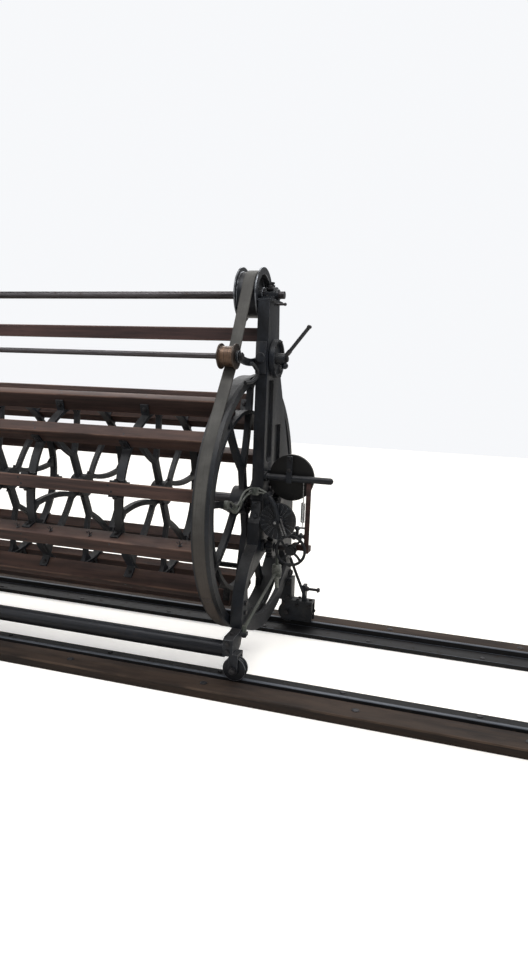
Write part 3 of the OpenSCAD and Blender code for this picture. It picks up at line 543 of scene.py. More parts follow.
class Bench:
    """Small shapes, each made with mesh operators and added to one mesh under construction."""

    def __init__(self, name: str) -> None:
        """Starts an empty piece."""
        self.name = name
        self.mesh = bmesh.new()

    def bar(self, start: Point, end: Point, radius: float, sides: int = 20, tip: float | None = None) -> None:
        """Adds a round bar, a cone, or a prism with few sides.

        Args:
            start: the middle of the first end.
            end: the middle of the last end.
            radius: the radius at the start.
            sides: the number of sides.
            tip: the radius at the end, where it differs.
        """
        first, last = Vector(start), Vector(end)
        axis = last - first
        place = Matrix.Translation((first + last) / 2) @ axis.to_track_quat("Z", "Y").to_matrix().to_4x4()
        bmesh.ops.create_cone(
            self.mesh, cap_ends=True, cap_tris=False, segments=sides, radius1=radius,
            radius2=radius if tip is None else tip, depth=axis.length, matrix=place,
        )

    def bolt(self, seat: Point, out: Point, radius: float, height: float, washer: bool = True) -> None:
        """Adds a six-sided head on a washer, with a low dome.

        Args:
            seat: the point on the face it sits on.
            out: the direction away from that face.
            radius: the head's radius over its corners.
            height: the head's height.
            washer: whether a washer lies under it.
        """
        base, way = Vector(seat), Vector(out).normalized()
        if washer:
            self.bar(base, base + way * 0.002, radius * 1.3, 20)
            base = base + way * 0.0018
        self.bar(base, base + way * height * 0.86, radius, 6)
        self.bar(base + way * height * 0.85, base + way * height, radius * 0.86, 12, radius * 0.6)

    def turned(self, outline: Outline, seat: Point, axis: Point, steps: int = 40) -> None:
        """Spins an outline round an axis.

        Args:
            outline: pairs of distance along the axis and radius.
            seat: the point on the axis where the distance is 0.
            axis: the direction of the axis.
            steps: the number of steps in the full turn.
        """
        way = Vector(axis).normalized()
        side = way.orthogonal().normalized()
        points = [self.mesh.verts.new(Vector(seat) + way * along + side * out) for along, out in outline]
        edges = [self.mesh.edges.new(pair) for pair in zip(points, points[1:])]
        bmesh.ops.spin(
            self.mesh, geom=points + edges, cent=Vector(seat), axis=way, angle=2 * math.pi, steps=steps,
            use_merge=True,
        )
        bmesh.ops.remove_doubles(self.mesh, verts=self.mesh.verts, dist=MERGE)

    def collar(
        self, bore: float, radius: float, width: float, chamfer: float, seat: Point, axis: Point, steps: int
    ) -> None:
        """Adds a ring with softened corners.

        Args:
            bore: the radius of its hole, 0 for a knob.
            radius: its outer radius.
            width: its length along the axis.
            chamfer: how far its corners are softened.
            seat: the middle of its first face.
            axis: the direction of its axis.
            steps: the number of steps in the full turn.
        """
        outline = (
            (0, bore), (0, radius - chamfer), (chamfer, radius),
            (width - chamfer, radius), (width, radius - chamfer), (width, bore),
        )
        self.turned(tuple(dict.fromkeys(outline)), seat, axis, steps)

    def plate(self, low: Point, high: Point, bevel: float = 0.0, place: Matrix = Matrix()) -> None:
        """Adds a box.

        Args:
            low: its lowest corner.
            high: its highest corner.
            bevel: how far its edges are softened.
            place: where the box is moved and turned to.
        """
        size = [b - a for a, b in zip(low, high)]
        middle = [(a + b) / 2 for a, b in zip(low, high)]
        shape = place @ Matrix.Translation(middle) @ Matrix.Diagonal((*size, 1.0))
        made = bmesh.ops.create_cube(self.mesh, size=1.0, matrix=shape)
        if bevel > 0:
            edges = dict.fromkeys(edge for vert in made["verts"] for edge in vert.link_edges)
            soften(self.mesh, list(edges), bevel)

    def ball(self, middle: Point, radius: float) -> None:
        """Adds a round knob."""
        place = Matrix.Translation(middle)
        bmesh.ops.create_uvsphere(self.mesh, u_segments=20, v_segments=12, radius=radius, matrix=place)

    def tube(self, points: Sequence[Point], radius: float, sides: int = 8, smooth: int = 12) -> None:
        """Adds a bent rod along smooth points, taken from a curve's own mesh.

        Args:
            points: the points that it runs through.
            radius: the rod's radius.
            sides: the number of sides of its section.
            smooth: the number of steps between two points.
        """
        curve = bpy.data.curves.new(self.name + "_path", "CURVE")
        curve.dimensions, curve.resolution_u, curve.use_fill_caps = "3D", smooth, True
        curve.bevel_depth, curve.bevel_resolution = radius, sides // 2
        spline = curve.splines.new("BEZIER")
        spline.bezier_points.add(len(points) - 1)
        for knot, point in zip(spline.bezier_points, points):
            knot.co, knot.handle_left_type, knot.handle_right_type = point, "AUTO", "AUTO"
        holder = show(self.name + "_path", curve)
        mesh = bpy.data.meshes.new_from_object(holder.evaluated_get(bpy.context.evaluated_depsgraph_get()))
        self.mesh.from_mesh(mesh)
        bpy.data.objects.remove(holder)
        bpy.data.meshes.remove(mesh)

    def done(self, slot: Slot, body: Body, coats: Coats, replaces: Sequence[str] = (), wear: float = 0.0) -> None:
        """Ends the piece.

        Args:
            slot: the material slot.
            body: the body that it rides on.
            coats: the materials by slot.
            replaces: the solids that it stands for.
            wear: how far the whole piece is rubbed bare, from 0 to 1; on the bent rods and the collar binding the bare
                colour is a painted highlight.
        """
        rubbed = self.mesh.faces.layers.float.new("wear_and_highlight")
        for face in self.mesh.faces:
            face[rubbed] = wear
        bmesh.ops.recalc_face_normals(self.mesh, faces=self.mesh.faces)
        settle(self.name, self.mesh, slot, body.value, coats, replaces)


def settle(
    name: str, mesh: bmesh.types.BMesh, slot: Slot, body: str, coats: Coats, replaces: Sequence[str] = ()
) -> None:
    """Writes a mesh to an object at the origin and gives it its body, slot and material.

    Args:
        name: the piece's name.
        mesh: the mesh, which is freed.
        slot: the material slot.
        body: the body's name.
        coats: the materials by slot.
        replaces: the solids that it stands for.
    """
    for face in mesh.faces:
        face.smooth = True
    data = bpy.data.meshes.new(name)
    mesh.to_mesh(data)
    mesh.free()
    data.set_sharp_from_angle(angle=SHARP)
    data.materials.append(coats[slot])
    piece = show(name, data)
    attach(piece, body)
    if replaces:
        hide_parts(*replaces)
    log.info("%s: %d faces", name, len(data.polygons))


def body_of(node: str) -> str:
    """Finds the body that holds a node."""
    bodies = frame["record"]["behaviour"]["bodies"]
    return next(name for name, nodes in bodies.items() if node in nodes)


def slot_of(node: str) -> Slot:
    """Finds a node's material slot."""
    return Slot(next(part["material_slot"] for part in frame["record"]["subparts"] if part["node"] == node))


def along(node: str) -> tuple[float, float]:
    """Gives the middle and the half length of a solid along X."""
    low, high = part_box(node)
    return (float(low[0]) + float(high[0])) / 2, (float(high[0]) - float(low[0])) / 2


@dataclass
class Rounded:
    """A copy of a solid with its edges rounded and marked for wear, where they turn by more than `turn` degrees."""

    node: str
    radius: float = 0.003
    turn: float = 35.0
    weld: float = 2e-5

    def build(self, coats: Coats) -> None:
        """Makes the rounded piece in place of its solid.

        Args:
            coats: the materials by slot.
        """
        mesh = bmesh.new()
        mesh.from_mesh(frame["nodes"][self.node].data)
        bmesh.ops.remove_doubles(mesh, verts=mesh.verts, dist=self.weld)
        bmesh.ops.dissolve_limit(mesh, angle_limit=FLAT, verts=mesh.verts, edges=mesh.edges)
        wear = mesh.faces.layers.float.new("wear_and_highlight")
        turn = math.radians(self.turn)
        sharp = [edge for edge in mesh.edges if edge.is_manifold and edge.calc_face_angle(0.0) > turn]
        for face in soften(mesh, sharp, self.radius):
            face[wear] = 1.0
        settle(self.node + "_cast", mesh, slot_of(self.node), body_of(self.node), coats, [self.node])


# the machine


@dataclass
class Part:
    """A sub-assembly, with the materials by slot that it is dressed in."""

    coats: Coats


@dataclass
class Track(Part):
    """The two rails on their timber sills."""

    plate_top: float = 0.026
    plate_y: float = 0.37175
    sill_top: float = 0.046
    sill_y: float = 0.575
    bolts: Places = (-2.66, 0.76, 8)
    screws: Places = (-2.75, 0.65, 9)
    bolt_head: Outline = ((0, 0.019), (0.002, 0.019), (0.005, 0.013), (0.0065, 0.0))
    screw_head: Outline = ((0, 0.0145), (0.004, 0.0135), (0.0068, 0.0085), (0.0072, 0.0))

    def build(self) -> None:
        """Rounds the timbers and rails and adds their coach bolts and screw heads."""
        for node in ("sill_front", "sill_rear"):
            Rounded(node, 0.006).build(self.coats)
        for node in ("rail_front", "rail_rear"):
            Rounded(node, 0.002, 25.0).build(self.coats)
        bolts = Bench("sill_bolts")
        self.row(bolts, self.bolt_head, self.bolts, self.sill_y, self.sill_top, 16)
        bolts.done(Slot.BOLT, Body.TRACK, self.coats)
        screws = Bench("plate_screws")
        self.row(screws, self.screw_head, self.screws, self.plate_y, self.plate_top, 20)
        screws.done(Slot.BOLT, Body.TRACK, self.coats, ["rail_screws"])

    def row(self, piece: Bench, head: Outline, places: Places, y: float, z: float, steps: int) -> None:
        """Sets a row of round heads on each side of the track.

        Args:
            piece: the piece under construction.
            head: the head's outline.
            places: the first place along X, the distance between two and their count.
            y: the row's distance from the middle of the track.
            z: the height of the face that they sit on.
            steps: the number of steps in a full turn of a head.
        """
        start, pitch, count = places
        for side in BOTH:
            for step in range(count):
                piece.turned(head, (start + pitch * step, side * y, z), UP, steps)


@dataclass
class EndFrames(Part):
    """Both end frames, with their feet, trucks, bearings and ties."""

    half: float = 1.204
    out: float = 1.266
    cap: float = 1.956
    shaft_z: float = 1.986
    reel_z: float = 0.875
    stud_y: float = 0.033
    collar_r: float = 0.066
    axle_z: float = 0.1103
    castings: tuple[tuple[str, float], ...] = (
        ("frame", 0.005), ("foot", 0.004), ("truck", 0.003), ("bearing", 0.003),
        ("wheel_front", 0.002), ("wheel_rear", 0.002),
    )
    cup: Outline = ((0, 0.0), (0, 0.006), (0.014, 0.006), (0.016, 0.012), (0.034, 0.013), (0.037, 0.01), (0.04, 0.0))
    boss: Outline = ((0, 0.026), (0.006, 0.026), (0.009, 0.023), (0.009, 0.0))
    claw: tuple[Point, ...] = (
        (1.225, -0.262, 1.622), (1.226, -0.21, 1.606), (1.226, -0.168, 1.572),
        (1.222, -0.215, 1.536), (1.205, -0.29, 1.523),
    )
    top_bolts: tuple[Point, ...] = (
        (1.24, -0.465, 0.2738), (1.335, 0.458, 0.1923), (1.335, 0.503, 0.1923), (1.412, 0.48, 0.1923),
    )

    def build(self) -> None:
        """Rounds the castings and adds their fittings."""
        for side in ("right", "left"):
            for name, radius in self.castings:
                Rounded(f"{name}_{side}", radius).build(self.coats)
        Rounded("tie_beam", 0.006).build(self.coats)
        self.bearing_fittings()
        self.oil_cups()
        self.column_boss()
        self.leg_fittings()

    def bearing_fittings(self) -> None:
        """Adds studs and straps to the top bearings and a bolted collar at the reel shaft's free left end."""
        piece = Bench("bearing_fittings")
        z = self.shaft_z
        for side in BOTH:
            middle = side * (self.half + self.out) / 2
            for y in (-self.stud_y, self.stud_y):
                piece.bar((middle, y, z + 0.006), (middle, y, z + 0.056), 0.006, 12)
                piece.bolt((middle, y, z + 0.034), UP, 0.0115, 0.011)
            piece.plate((middle - 0.018, -0.046, z + 0.022), (middle + 0.018, 0.046, z + 0.034), 0.003)
            piece.bolt((middle, 0.048, self.cap + 0.014), UP, 0.009, 0.008)
        face = -self.out - 0.024
        piece.collar(0.0302, 0.053, 0.015, 0.003, (face, 0, self.reel_z), LEFT, 48)
        for turn in (45, 135, 225, 315):
            y, z = on_circle(turn, self.collar_r)
            piece.bolt((face, y, self.reel_z + z), LEFT, 0.009, 0.008, False)
        piece.done(Slot.BOLT, Body.CARRIAGE, self.coats)

    def oil_cups(self) -> None:
        """Adds an oil cup over each of the reel's bearings."""
        cups = Bench("oil_cups")
        for side in BOTH:
            cups.turned(self.cup, (side * (self.out + 0.01), 0, self.reel_z + 0.078), UP, 20)
        cups.done(Slot.SHAFT, Body.CARRIAGE, self.coats)

    def column_boss(self) -> None:
        """Adds the plate, boss and claw on the column's front, and the peg beside its cap."""
        boss = Bench("column_boss")
        boss.plate((1.2035, -0.147, 1.572), (1.2625, -0.1285, 1.738), 0.006)
        boss.turned(self.boss, (1.233, -0.147, 1.655), FRONT, 32)
        boss.tube(self.claw, 0.0105)
        boss.done(Slot.IRON, Body.CARRIAGE, self.coats)
        peg = Bench("cap_peg")
        tip = (1.336, -0.085, 1.93)
        peg.bar((1.279, -0.085, 1.93), tip, 0.0065, 14)
        peg.ball(tip, 0.0085)
        peg.done(Slot.BOLT, Body.CARRIAGE, self.coats)

    def leg_fittings(self) -> None:
        """Adds the bolts of the feet and trucks and the nuts of the axles."""
        piece = Bench("leg_fittings")
        for side in BOTH:
            axle_x = side * 1.27
            for x, y, z in self.top_bolts:
                piece.bolt((side * x, y, z), UP, 0.01, 0.008)
            for y in (-0.519, 0.441):
                piece.bolt((axle_x, y - 0.006, self.axle_z), FRONT, 0.014, 0.01)
            for y in (-0.441, 0.519):
                piece.bolt((axle_x, y + 0.006, self.axle_z), REAR, 0.014, 0.01)
            for z in (0.204, 0.243):
                piece.bolt((side * 1.239, -0.519, z), FRONT, 0.0095, 0.008)
            for x in (1.248, 1.335, 1.412):
                piece.bolt((side * x, 0.441, 0.162), FRONT, 0.01, 0.008)
            for y in (0.4475, 0.5125):
                piece.bolt((side * 1.43, y, 0.12), (side, 0, 0), 0.009, 0.007, False)
            for z in (0.215, 0.3):
                piece.bolt((side * 1.275, 0.432, z), FRONT, 0.011, 0.009)
            piece.bolt((side * 1.452, 0.48, 0.2643), (side, 0, 0), 0.014, 0.012)
            piece.bar((side * 1.236, 0.495, 0.352), (side * 1.284, 0.495, 0.352), 0.012, 16)
            piece.bolt((side * 1.266, 0.495, 0.352), (side, 0, 0), 0.019, 0.014)
        piece.done(Slot.BOLT, Body.CARRIAGE, self.coats)


@dataclass
class Drum(Part):
    """The slatted reel on its spiders."""

    axis_z: float = 0.875
    outer: float = 0.592
    lug_r: float = 0.532
    peg_r: float = 0.56
    half_slat: float = 0.033
    lug: float = 0.01
    first: float = 20.0
    count: int = 12
    supports: tuple[float, ...] = (1.081, 0.61, 0.08, -0.45, -0.98)
    peg_slat: int = 6
    pegs: tuple[float, ...] = (0.98, 0.472, 0.238, 0.033, -0.19, -0.62, -0.85)
    screw_head: Outline = ((0, 0.0062), (0.0011, 0.0058), (0.0014, 0.0))

    def at(self, slat: int, x: float, out: float, side: float) -> Vector:
        """Gives a point of one slat from its distance along, out from the axis and to the side.

        Args:
            slat: the slat's number, from 0.
            x: the place along the drum.
            out: the distance from the axis.
            side: the distance to the side of the slat's middle.

        Returns:
            The point.
        """
        angle = math.radians(self.first + 360 / self.count * slat)
        c, s = math.cos(angle), math.sin(angle)
        return Vector((x, out * c - side * s, self.axis_z + out * s + side * c))

    def build(self) -> None:
        """Rounds slats and spiders and adds screws, lug bolts, hub screws and pegs."""
        for slat in range(self.count):
            Rounded(f"slat_{slat + 1:02d}", 0.0045).build(self.coats)
        for index in range(4):
            Rounded(f"spider_{index + 1}", 0.004, 40.0, 6e-4).build(self.coats)
        self.screws()
        self.lug_bolts()
        self.hub_screws()
        self.wing_pegs()

    def screws(self) -> None:
        """Adds two sunk screws through each slat over each spider."""
        piece = Bench("slat_screws")
        for slat in range(self.count):
            for x in self.supports:
                for shift, side in ((-0.011, -0.015), (0.011, 0.015)):
                    seat = self.at(slat, x + shift, self.outer - 0.0006, side)
                    out = self.at(slat, x + shift, self.outer + 0.4, side) - seat
                    piece.turned(self.screw_head, seat, out, 12)
        piece.done(Slot.BOLT, Body.REEL, self.coats)

    def lug_bolts(self) -> None:
        """Adds a bolt through each pair of lugs, with its head on one side and its nut on the other."""
        piece = Bench("lug_bolts")
        for slat in range(self.count):
            for x in self.supports:
                for side in BOTH:
                    seat = self.at(slat, x, self.lug_r, side * (self.half_slat + self.lug))
                    out = self.at(slat, x, self.lug_r, side * 0.4) - self.at(slat, x, self.lug_r, 0)
                    piece.bolt(seat, out, 0.0105, 0.009 if side > 0 else 0.007)
        piece.done(Slot.BOLT, Body.REEL, self.coats)

    def hub_screws(self) -> None:
        """Adds the square set screws, the keys and the end rings of the hubs."""
        piece = Bench("hub_screws")
        z = self.axis_z
        for x in self.supports[1:]:
            for turn in (65, 245):
                way = Vector((0, *on_circle(turn, 1.0)))
                seat = Vector((x + 0.026, 0, z)) + way * 0.067
                piece.bar(seat, seat + way * 0.02, 0.0095, 4)
            piece.plate((x - 0.05, -0.007, z + 0.0285), (x - 0.0415, 0.007, z + 0.037), 0.001)
            for end in BOTH:
                outline = ((0, 0.0302), (0, 0.04), (end * 0.004, 0.0385), (end * 0.004, 0.0302))
                piece.turned(outline, (x + end * 0.042, 0, z), RIGHT, 32)
        piece.done(Slot.BOLT, Body.REEL, self.coats)

    def wing_pegs(self) -> None:
        """Adds the small wire pegs with wing nuts on the lower front slat."""
        piece = Bench("slat_pegs")
        for x in self.pegs:
            foot = self.at(self.peg_slat, x, self.peg_r, -self.half_slat)
            out = (self.at(self.peg_slat, x, self.peg_r, -0.2) - foot).normalized()
            piece.bar(foot, foot + out * 0.03, 0.0032, 10)
            piece.bar(foot, foot + out * 0.004, 0.01, 14)
            side = out.cross(Vector(RIGHT)).normalized()
            for way in BOTH:
                middle = foot + out * 0.014 + Vector((way * 0.008, 0, 0))
                end = middle + Vector((way * 0.009, 0, 0)) + out * 0.008 + side * 0.001
                piece.bar(middle, end, 0.0036, 8, 0.0022)
        piece.done(Slot.SHAFT, Body.REEL, self.coats)


@dataclass
class BandDrive(Part):
    """The band wheel, its belt and the pulley on the top shaft."""

    axis_z: float = 0.875
    top_z: float = 1.986
    hub_x: float = 1.144
    belt_r: float = 0.6936
    lap_turn: float = 216.0
    hub_ring: Outline = ((0, 0.0302), (0, 0.046), (0.006, 0.044), (0.01, 0.04), (0.01, 0.0302))
    rivet: Outline = ((0, 0.0042), (0.0012, 0.0036), (0.0018, 0.0))

    def build(self) -> None:
        """Rounds the wheels and adds hub bolts, rim joint bolts, shaft collars and the belt's lap."""
        Rounded("band_wheel", 0.004, 40.0, 6e-4).build(self.coats)
        Rounded("top_pulley", 0.003).build(self.coats)
        self.hub()
        self.collars()
        self.lap()

    def hub(self) -> None:
        """Adds the hub's ring of bolts and the bolts that join the two halves of the rim."""
        piece = Bench("band_wheel_bolts")
        for turn in range(15, 375, 60):
            y, z = on_circle(turn, 0.055)
            piece.bolt((self.hub_x, y, self.axis_z + z), RIGHT, 0.0095, 0.008, False)
        piece.turned(self.hub_ring, (self.hub_x, 0, self.axis_z), RIGHT, 40)
        for turn in (59, 239):
            for shift in (-2.2, 2.2):
                way = Vector((0, *on_circle(turn + shift, 1.0)))
                for x in (1.146, 1.174):
                    piece.bolt(Vector((x, 0, self.axis_z)) + way * 0.6565, -way, 0.011, 0.01)
        piece.done(Slot.BOLT, Body.REEL, self.coats)

    def lap(self) -> None:
        """Adds the belt's riveted lap at the wheel's lower front."""
        middle, half = along("drive_belt")
        turned = Matrix.Rotation(math.radians(self.lap_turn), 4, "X")
        place = Matrix.Translation((middle, 0, self.axis_z)) @ turned
        wide, top = half - 0.0005, self.belt_r + 0.0022
        strip = Bench("belt_lap")
        strip.plate((-wide, self.belt_r, -0.016), (wide, top, 0.016), 0.0008, place)
        strip.done(Slot.BELT, Body.CARRIAGE, self.coats)
        rivets = Bench("belt_rivets")
        for row in (-0.009, 0.009):
            for step in range(5):
                seat = place @ Vector((half * (0.36 * step - 0.72), top - 0.0001, row))
                rivets.turned(self.rivet, seat, place.to_3x3() @ Vector(REAR), 12)
        rivets.done(Slot.SHAFT, Body.CARRIAGE, self.coats)

    def collars(self) -> None:
        """Adds split collars with set screws on the top shaft."""
        piece = Bench("top_shaft_collars")
        for x in (1.046, -1.17):
            piece.collar(0.0212, 0.038, 0.02, 0.002, (x, 0, self.top_z), RIGHT, 36)
            piece.bar((x + 0.01, 0, self.top_z + 0.036), (x + 0.01, 0, self.top_z + 0.049), 0.007, 4)
        piece.done(Slot.BOLT, Body.TOP, self.coats)


@dataclass
class TightenerKit(Part):
    """The belt tightener's arms, spool, set disc and double lever."""

    pivot: Point = (1.3203, -0.02, 1.655)
    spool_y: float = -0.36873
    spool_z: float = 1.64958
    rings: tuple[float, ...] = (0.021, 0.017, 0.02, 0.015)

    def build(self) -> None:
        """Rounds the arms and the spool and adds nuts, collars and the lever's ends."""
        for node in ("tight_arm_right", "tight_arm_left"):
            Rounded(node, 0.0025).build(self.coats)
        Rounded("spool", 0.002).build(self.coats)
        Rounded("set_lever", 0.0015, 50.0).build(self.coats)
        piece = Bench("tightener_fittings")
        self.lever_ends(piece)
        self.shaft_ends(piece)
        piece.done(Slot.BOLT, Body.TIGHT, self.coats)

    def lever_ends(self, piece: Bench) -> None:
        """Adds the knobs, sockets and nut of the double lever and the bolts of the set disc.

        Args:
            piece: the piece under construction.
        """
        x, y, z = self.pivot
        for shift in (-0.012, 0.012):
            piece.ball((x + 0.132, y + shift, z + 0.168), 0.0098)
            piece.bar((x + 0.018, y + shift, z + 0.023), (x + 0.034, y + shift, z + 0.0433), 0.0095, 16)
        piece.bar((x + 0.078, y - 0.017, z + 0.0995), (x + 0.078, y + 0.017, z + 0.0995), 0.005, 12)
        piece.bolt((x + 0.0123, y, z), RIGHT, 0.017, 0.012)
        for turn in range(0, 360, 72):
            across, up = on_circle(turn, 0.094)
            piece.bolt((1.2965, y + across, z + up), RIGHT, 0.006, 0.005, False)

    def shaft_ends(self, piece: Bench) -> None:
        """Adds the nuts, rings and collars of the thin shaft.

        Args:
            piece: the piece under construction.
        """
        y, z = self.spool_y, self.spool_z
        for side in BOTH:
            piece.bolt((side * 1.203, y, z), (side, 0, 0), 0.0125, 0.009)
        for step, radius in enumerate(self.rings):
            outline = ((0, 0.0), (0, radius), (0.0016, radius + 0.0012), (0.0032, radius), (0.0032, 0.0))
            piece.turned(outline, (1.2035 + 0.0042 * step, y, z), RIGHT, 28)
        middle, half = along("spool")
        for x in (middle - half - 0.019, -1.15):
            piece.collar(0.0142, 0.023, 0.014, 0.0, (x, y, z), RIGHT, 28)


@dataclass
class HandGear(Part):
    """The disc, cross bar, ribbed guard, hand wheel and the bent rods at the right column."""

    rod: float = 0.0054
    rod_x: float = 1.166
    guard_x: float = 1.367
    guard_z: float = 0.81
    knob_y: float = -0.085
    knob_z: float = 0.724
    knobs: tuple[Point, ...] = (
        (1.408, 0.017, 0.01), (1.43, 0.023, 0.016), (1.468, 0.019, 0.014), (1.489, 0.014, 0.008),
    )
    spring_x: float = 1.48
    spring_r: float = 0.0088
    spring_span: tuple[float, float] = (0.8, 0.905)
    spring_turns: int = 17
    latch_path: tuple[Point, ...] = (
        (1.314, -0.196, 0.95), (1.343, -0.197, 0.917), (1.364, -0.196, 0.87), (1.378, -0.194, 0.82),
    )

    def build(self) -> None:
        """Rounds the castings and adds the rods, the latch and their small parts."""
        for node in ("gear_guard", "disc_bracket", "cross_bar", "hanger_post", "friction_disc"):
            Rounded(node, 0.002).build(self.coats)
        self.rods()
        self.coil()
        self.latch_tip()
        self.hand_knobs()
        self.latch()
        self.stay_joints()

    def rods(self) -> None:
        """Bends the two grey-green rods from inside the wheel round the column's front, with a painted highlight over
        their whole surface.
        """
        piece = Bench("bent_rods")
        x = self.rod_x
        for shift in (0.0, 0.034):
            path = [
                (x, -0.398, 0.912 + shift * 0.4), (x, -0.345, 0.888 + shift), (x, -0.275, 0.858 + shift),
                (x + 0.002, -0.22, 0.862 + shift), (x + 0.008, -0.178, 0.905 + shift),
                (1.196, -0.158, 0.937 + shift * 0.8), (1.24, -0.15, 0.95 + shift * 0.6),
                (1.285, -0.152, 0.948 + shift * 0.3), (1.312, -0.158, 0.94),
            ]
            piece.tube(path, self.rod)
        for y, z in ((-0.275, 0.871), (-0.398, 0.917)):
            piece.bar((x - 0.009, y, z), (x + 0.009, y, z), 0.021, 16)
        piece.bar((x, -0.0505, 0.933), (1.2035, -0.0505, 0.933), 0.008, 14)
        link = [(1.168, -0.215, 0.886), (1.168, -0.15, 0.905), (1.168, -0.09, 0.925), (1.17, -0.0505, 0.933)]
        piece.tube(link, self.rod)
        piece.plate((1.216, -0.158, 0.935), (1.252, -0.128, 0.975), 0.003)
        # painted highlight: the wear value 0.42 blends the whole rods towards the bare colour
        piece.done(Slot.GREEN, Body.CARRIAGE, self.coats, ["hub_stay"], 0.42)

    def latch(self) -> None:
        """Adds the curved latch that hangs in front of the ribbed guard, and the guard's bolts."""
        piece = Bench("guard_latch")
        x, z = self.guard_x, self.guard_z
        piece.tube(self.latch_path, 0.0135)
        piece.bar((1.312, -0.15, 0.946), (1.312, -0.212, 0.946), 0.0165, 20)
        piece.bar((x, -0.18, z), (x, -0.207, z), 0.02, 24)
        piece.bolt((x, -0.207, z), FRONT, 0.012, 0.008)
        piece.bolt((1.312, -0.212, 0.946), FRONT, 0.011, 0.008)
        for turn in range(0, 360, 60):
            across, up = on_circle(turn, 0.089)
            piece.bolt((x + across, -0.17, z + up), FRONT, 0.006, 0.005, False)
        piece.done(Slot.IRON, Body.CARRIAGE, self.coats)

    def latch_tip(self) -> None:
        """Adds the latch's bright tip and the bright end of its pin."""
        tip = Bench("latch_tip")
        x, z = self.guard_x, self.guard_z
        for shift in (0.0, 0.014):
            top, low = (1.375 + shift, -0.192, 0.826 + 0.3 * shift), (1.407 + shift, -0.19, 0.742 + 0.3 * shift)
            tip.bar(top, low, 0.0055, 12, 0.0045)
        tip.bar((x, -0.2145, z), (x, -0.2185, z), 0.0075, 14)
        tip.done(Slot.SHAFT, Body.CARRIAGE, self.coats, (), 1.0)

    def coil(self) -> None:
        """Adds the upright coil spring beside the hanger, with its hooks and its pin."""
        piece = Bench("coil_spring")
        x, y, steps = self.spring_x, self.knob_y, 12
        low, high = self.spring_span
        path = [(x, y, low - 0.03), (x, y, low - 0.008)]
        for step in range(self.spring_turns * steps + 1):
            angle = 2 * math.pi * step / steps
            z = low + (high - low) * step / (self.spring_turns * steps)
            path.append((x + self.spring_r * math.sin(angle), y + self.spring_r * math.cos(angle), z))
        piece.tube(path + [(x, y, high + 0.008), (x, y - 0.01, high + 0.112)], 0.0026, 4, 2)
        piece.bar((x - 0.014, y, low - 0.03), (x + 0.024, y, low - 0.03), 0.0055, 10)
        piece.done(Slot.SHAFT, Body.CARRIAGE, self.coats, (), 0.8)

    def hand_knobs(self) -> None:
        """Adds the lumpy arm over the hand wheel, the cover on the column's foot and the post's front strip."""
        piece = Bench("hand_knobs")
        y, z = self.knob_y, self.knob_z
        piece.bar((1.404, y, z), (1.506, y, z), 0.009, 16)
        for x, radius, wide in self.knobs:
            piece.collar(0.0, radius, wide, 0.003, (x, y, z), RIGHT, 28)
        piece.bar((1.455, y, z - 0.012), (1.455, y, z + 0.038), 0.0085, 16)
        piece.ball((1.455, y, z + 0.041), 0.014)
        piece.bolt((1.438, y - 0.0225, z), FRONT, 0.008, 0.005)
        piece.plate((1.2135, -0.151, 0.797), (1.2625, -0.128, 0.902), 0.008)
        for z in (0.824, 0.88):
            piece.bolt((1.238, -0.151, z), FRONT, 0.01, 0.009)
        piece.done(Slot.IRON, Body.CARRIAGE, self.coats, (), 0.12)
        strip = Bench("post_strip")
        strip.plate((1.4965, -0.0995, 0.636), (1.5235, -0.0958, 1.0125), 0.0015)
        strip.done(slot_of("hanger_post"), Body.CARRIAGE, self.coats)

    def stay_joints(self) -> None:
        """Adds wire bindings on the stay's collar, painted bright as a highlight, and bolts on the disc's bracket and
        strap.
        """
        binding = Bench("collar_binding")
        for step in range(9):
            out = 0.0282 - 0.00015 * (step - 4) ** 2
            outline = (
                (0, 0.0168), (0.0005, out - 0.002), (0.003, out), (0.006, out), (0.0085, out - 0.002), (0.0088, 0.0168),
            )
            binding.turned(outline, (1.28, 0.149, 0.408 + step * 0.009), UP, 24)
        binding.bar((1.283, 0.149, 0.412), (1.283, 0.152, 0.352), 0.013, 18, 0.011)
        # painted highlight: the wear value 0.7 blends the whole binding towards the bare colour
        binding.done(Slot.GREEN, Body.CARRIAGE, self.coats, (), 0.7)
        piece = Bench("bracket_bolts")
        for z in (1.012, 1.052):
            piece.bolt((1.288, -0.0395, z), FRONT, 0.009, 0.008)
        for z in (1.078, 1.134):
            piece.bolt((1.404, -0.1175, z), FRONT, 0.008, 0.007)
        piece.bolt((1.28, -0.39, 0.25), (0, 0, -1), 0.012, 0.01)
        piece.done(Slot.BOLT, Body.CARRIAGE, self.coats)


@dataclass
class Lamp:
    """One soft rectangular light."""

    name: str
    spot: Point
    aim: Point
    size: tuple[float, float]
    power: float

    def hang(self) -> None:
        """Adds the light to the scene."""
        data = bpy.data.lights.new(self.name, "AREA")
        data.shape, data.energy = "RECTANGLE", self.power
        data.size, data.size_y = self.size
        light = show(self.name, data)
        light.location = self.spot
        light.rotation_euler = (Vector(self.aim) - Vector(self.spot)).to_track_quat("-Z", "Y").to_euler()


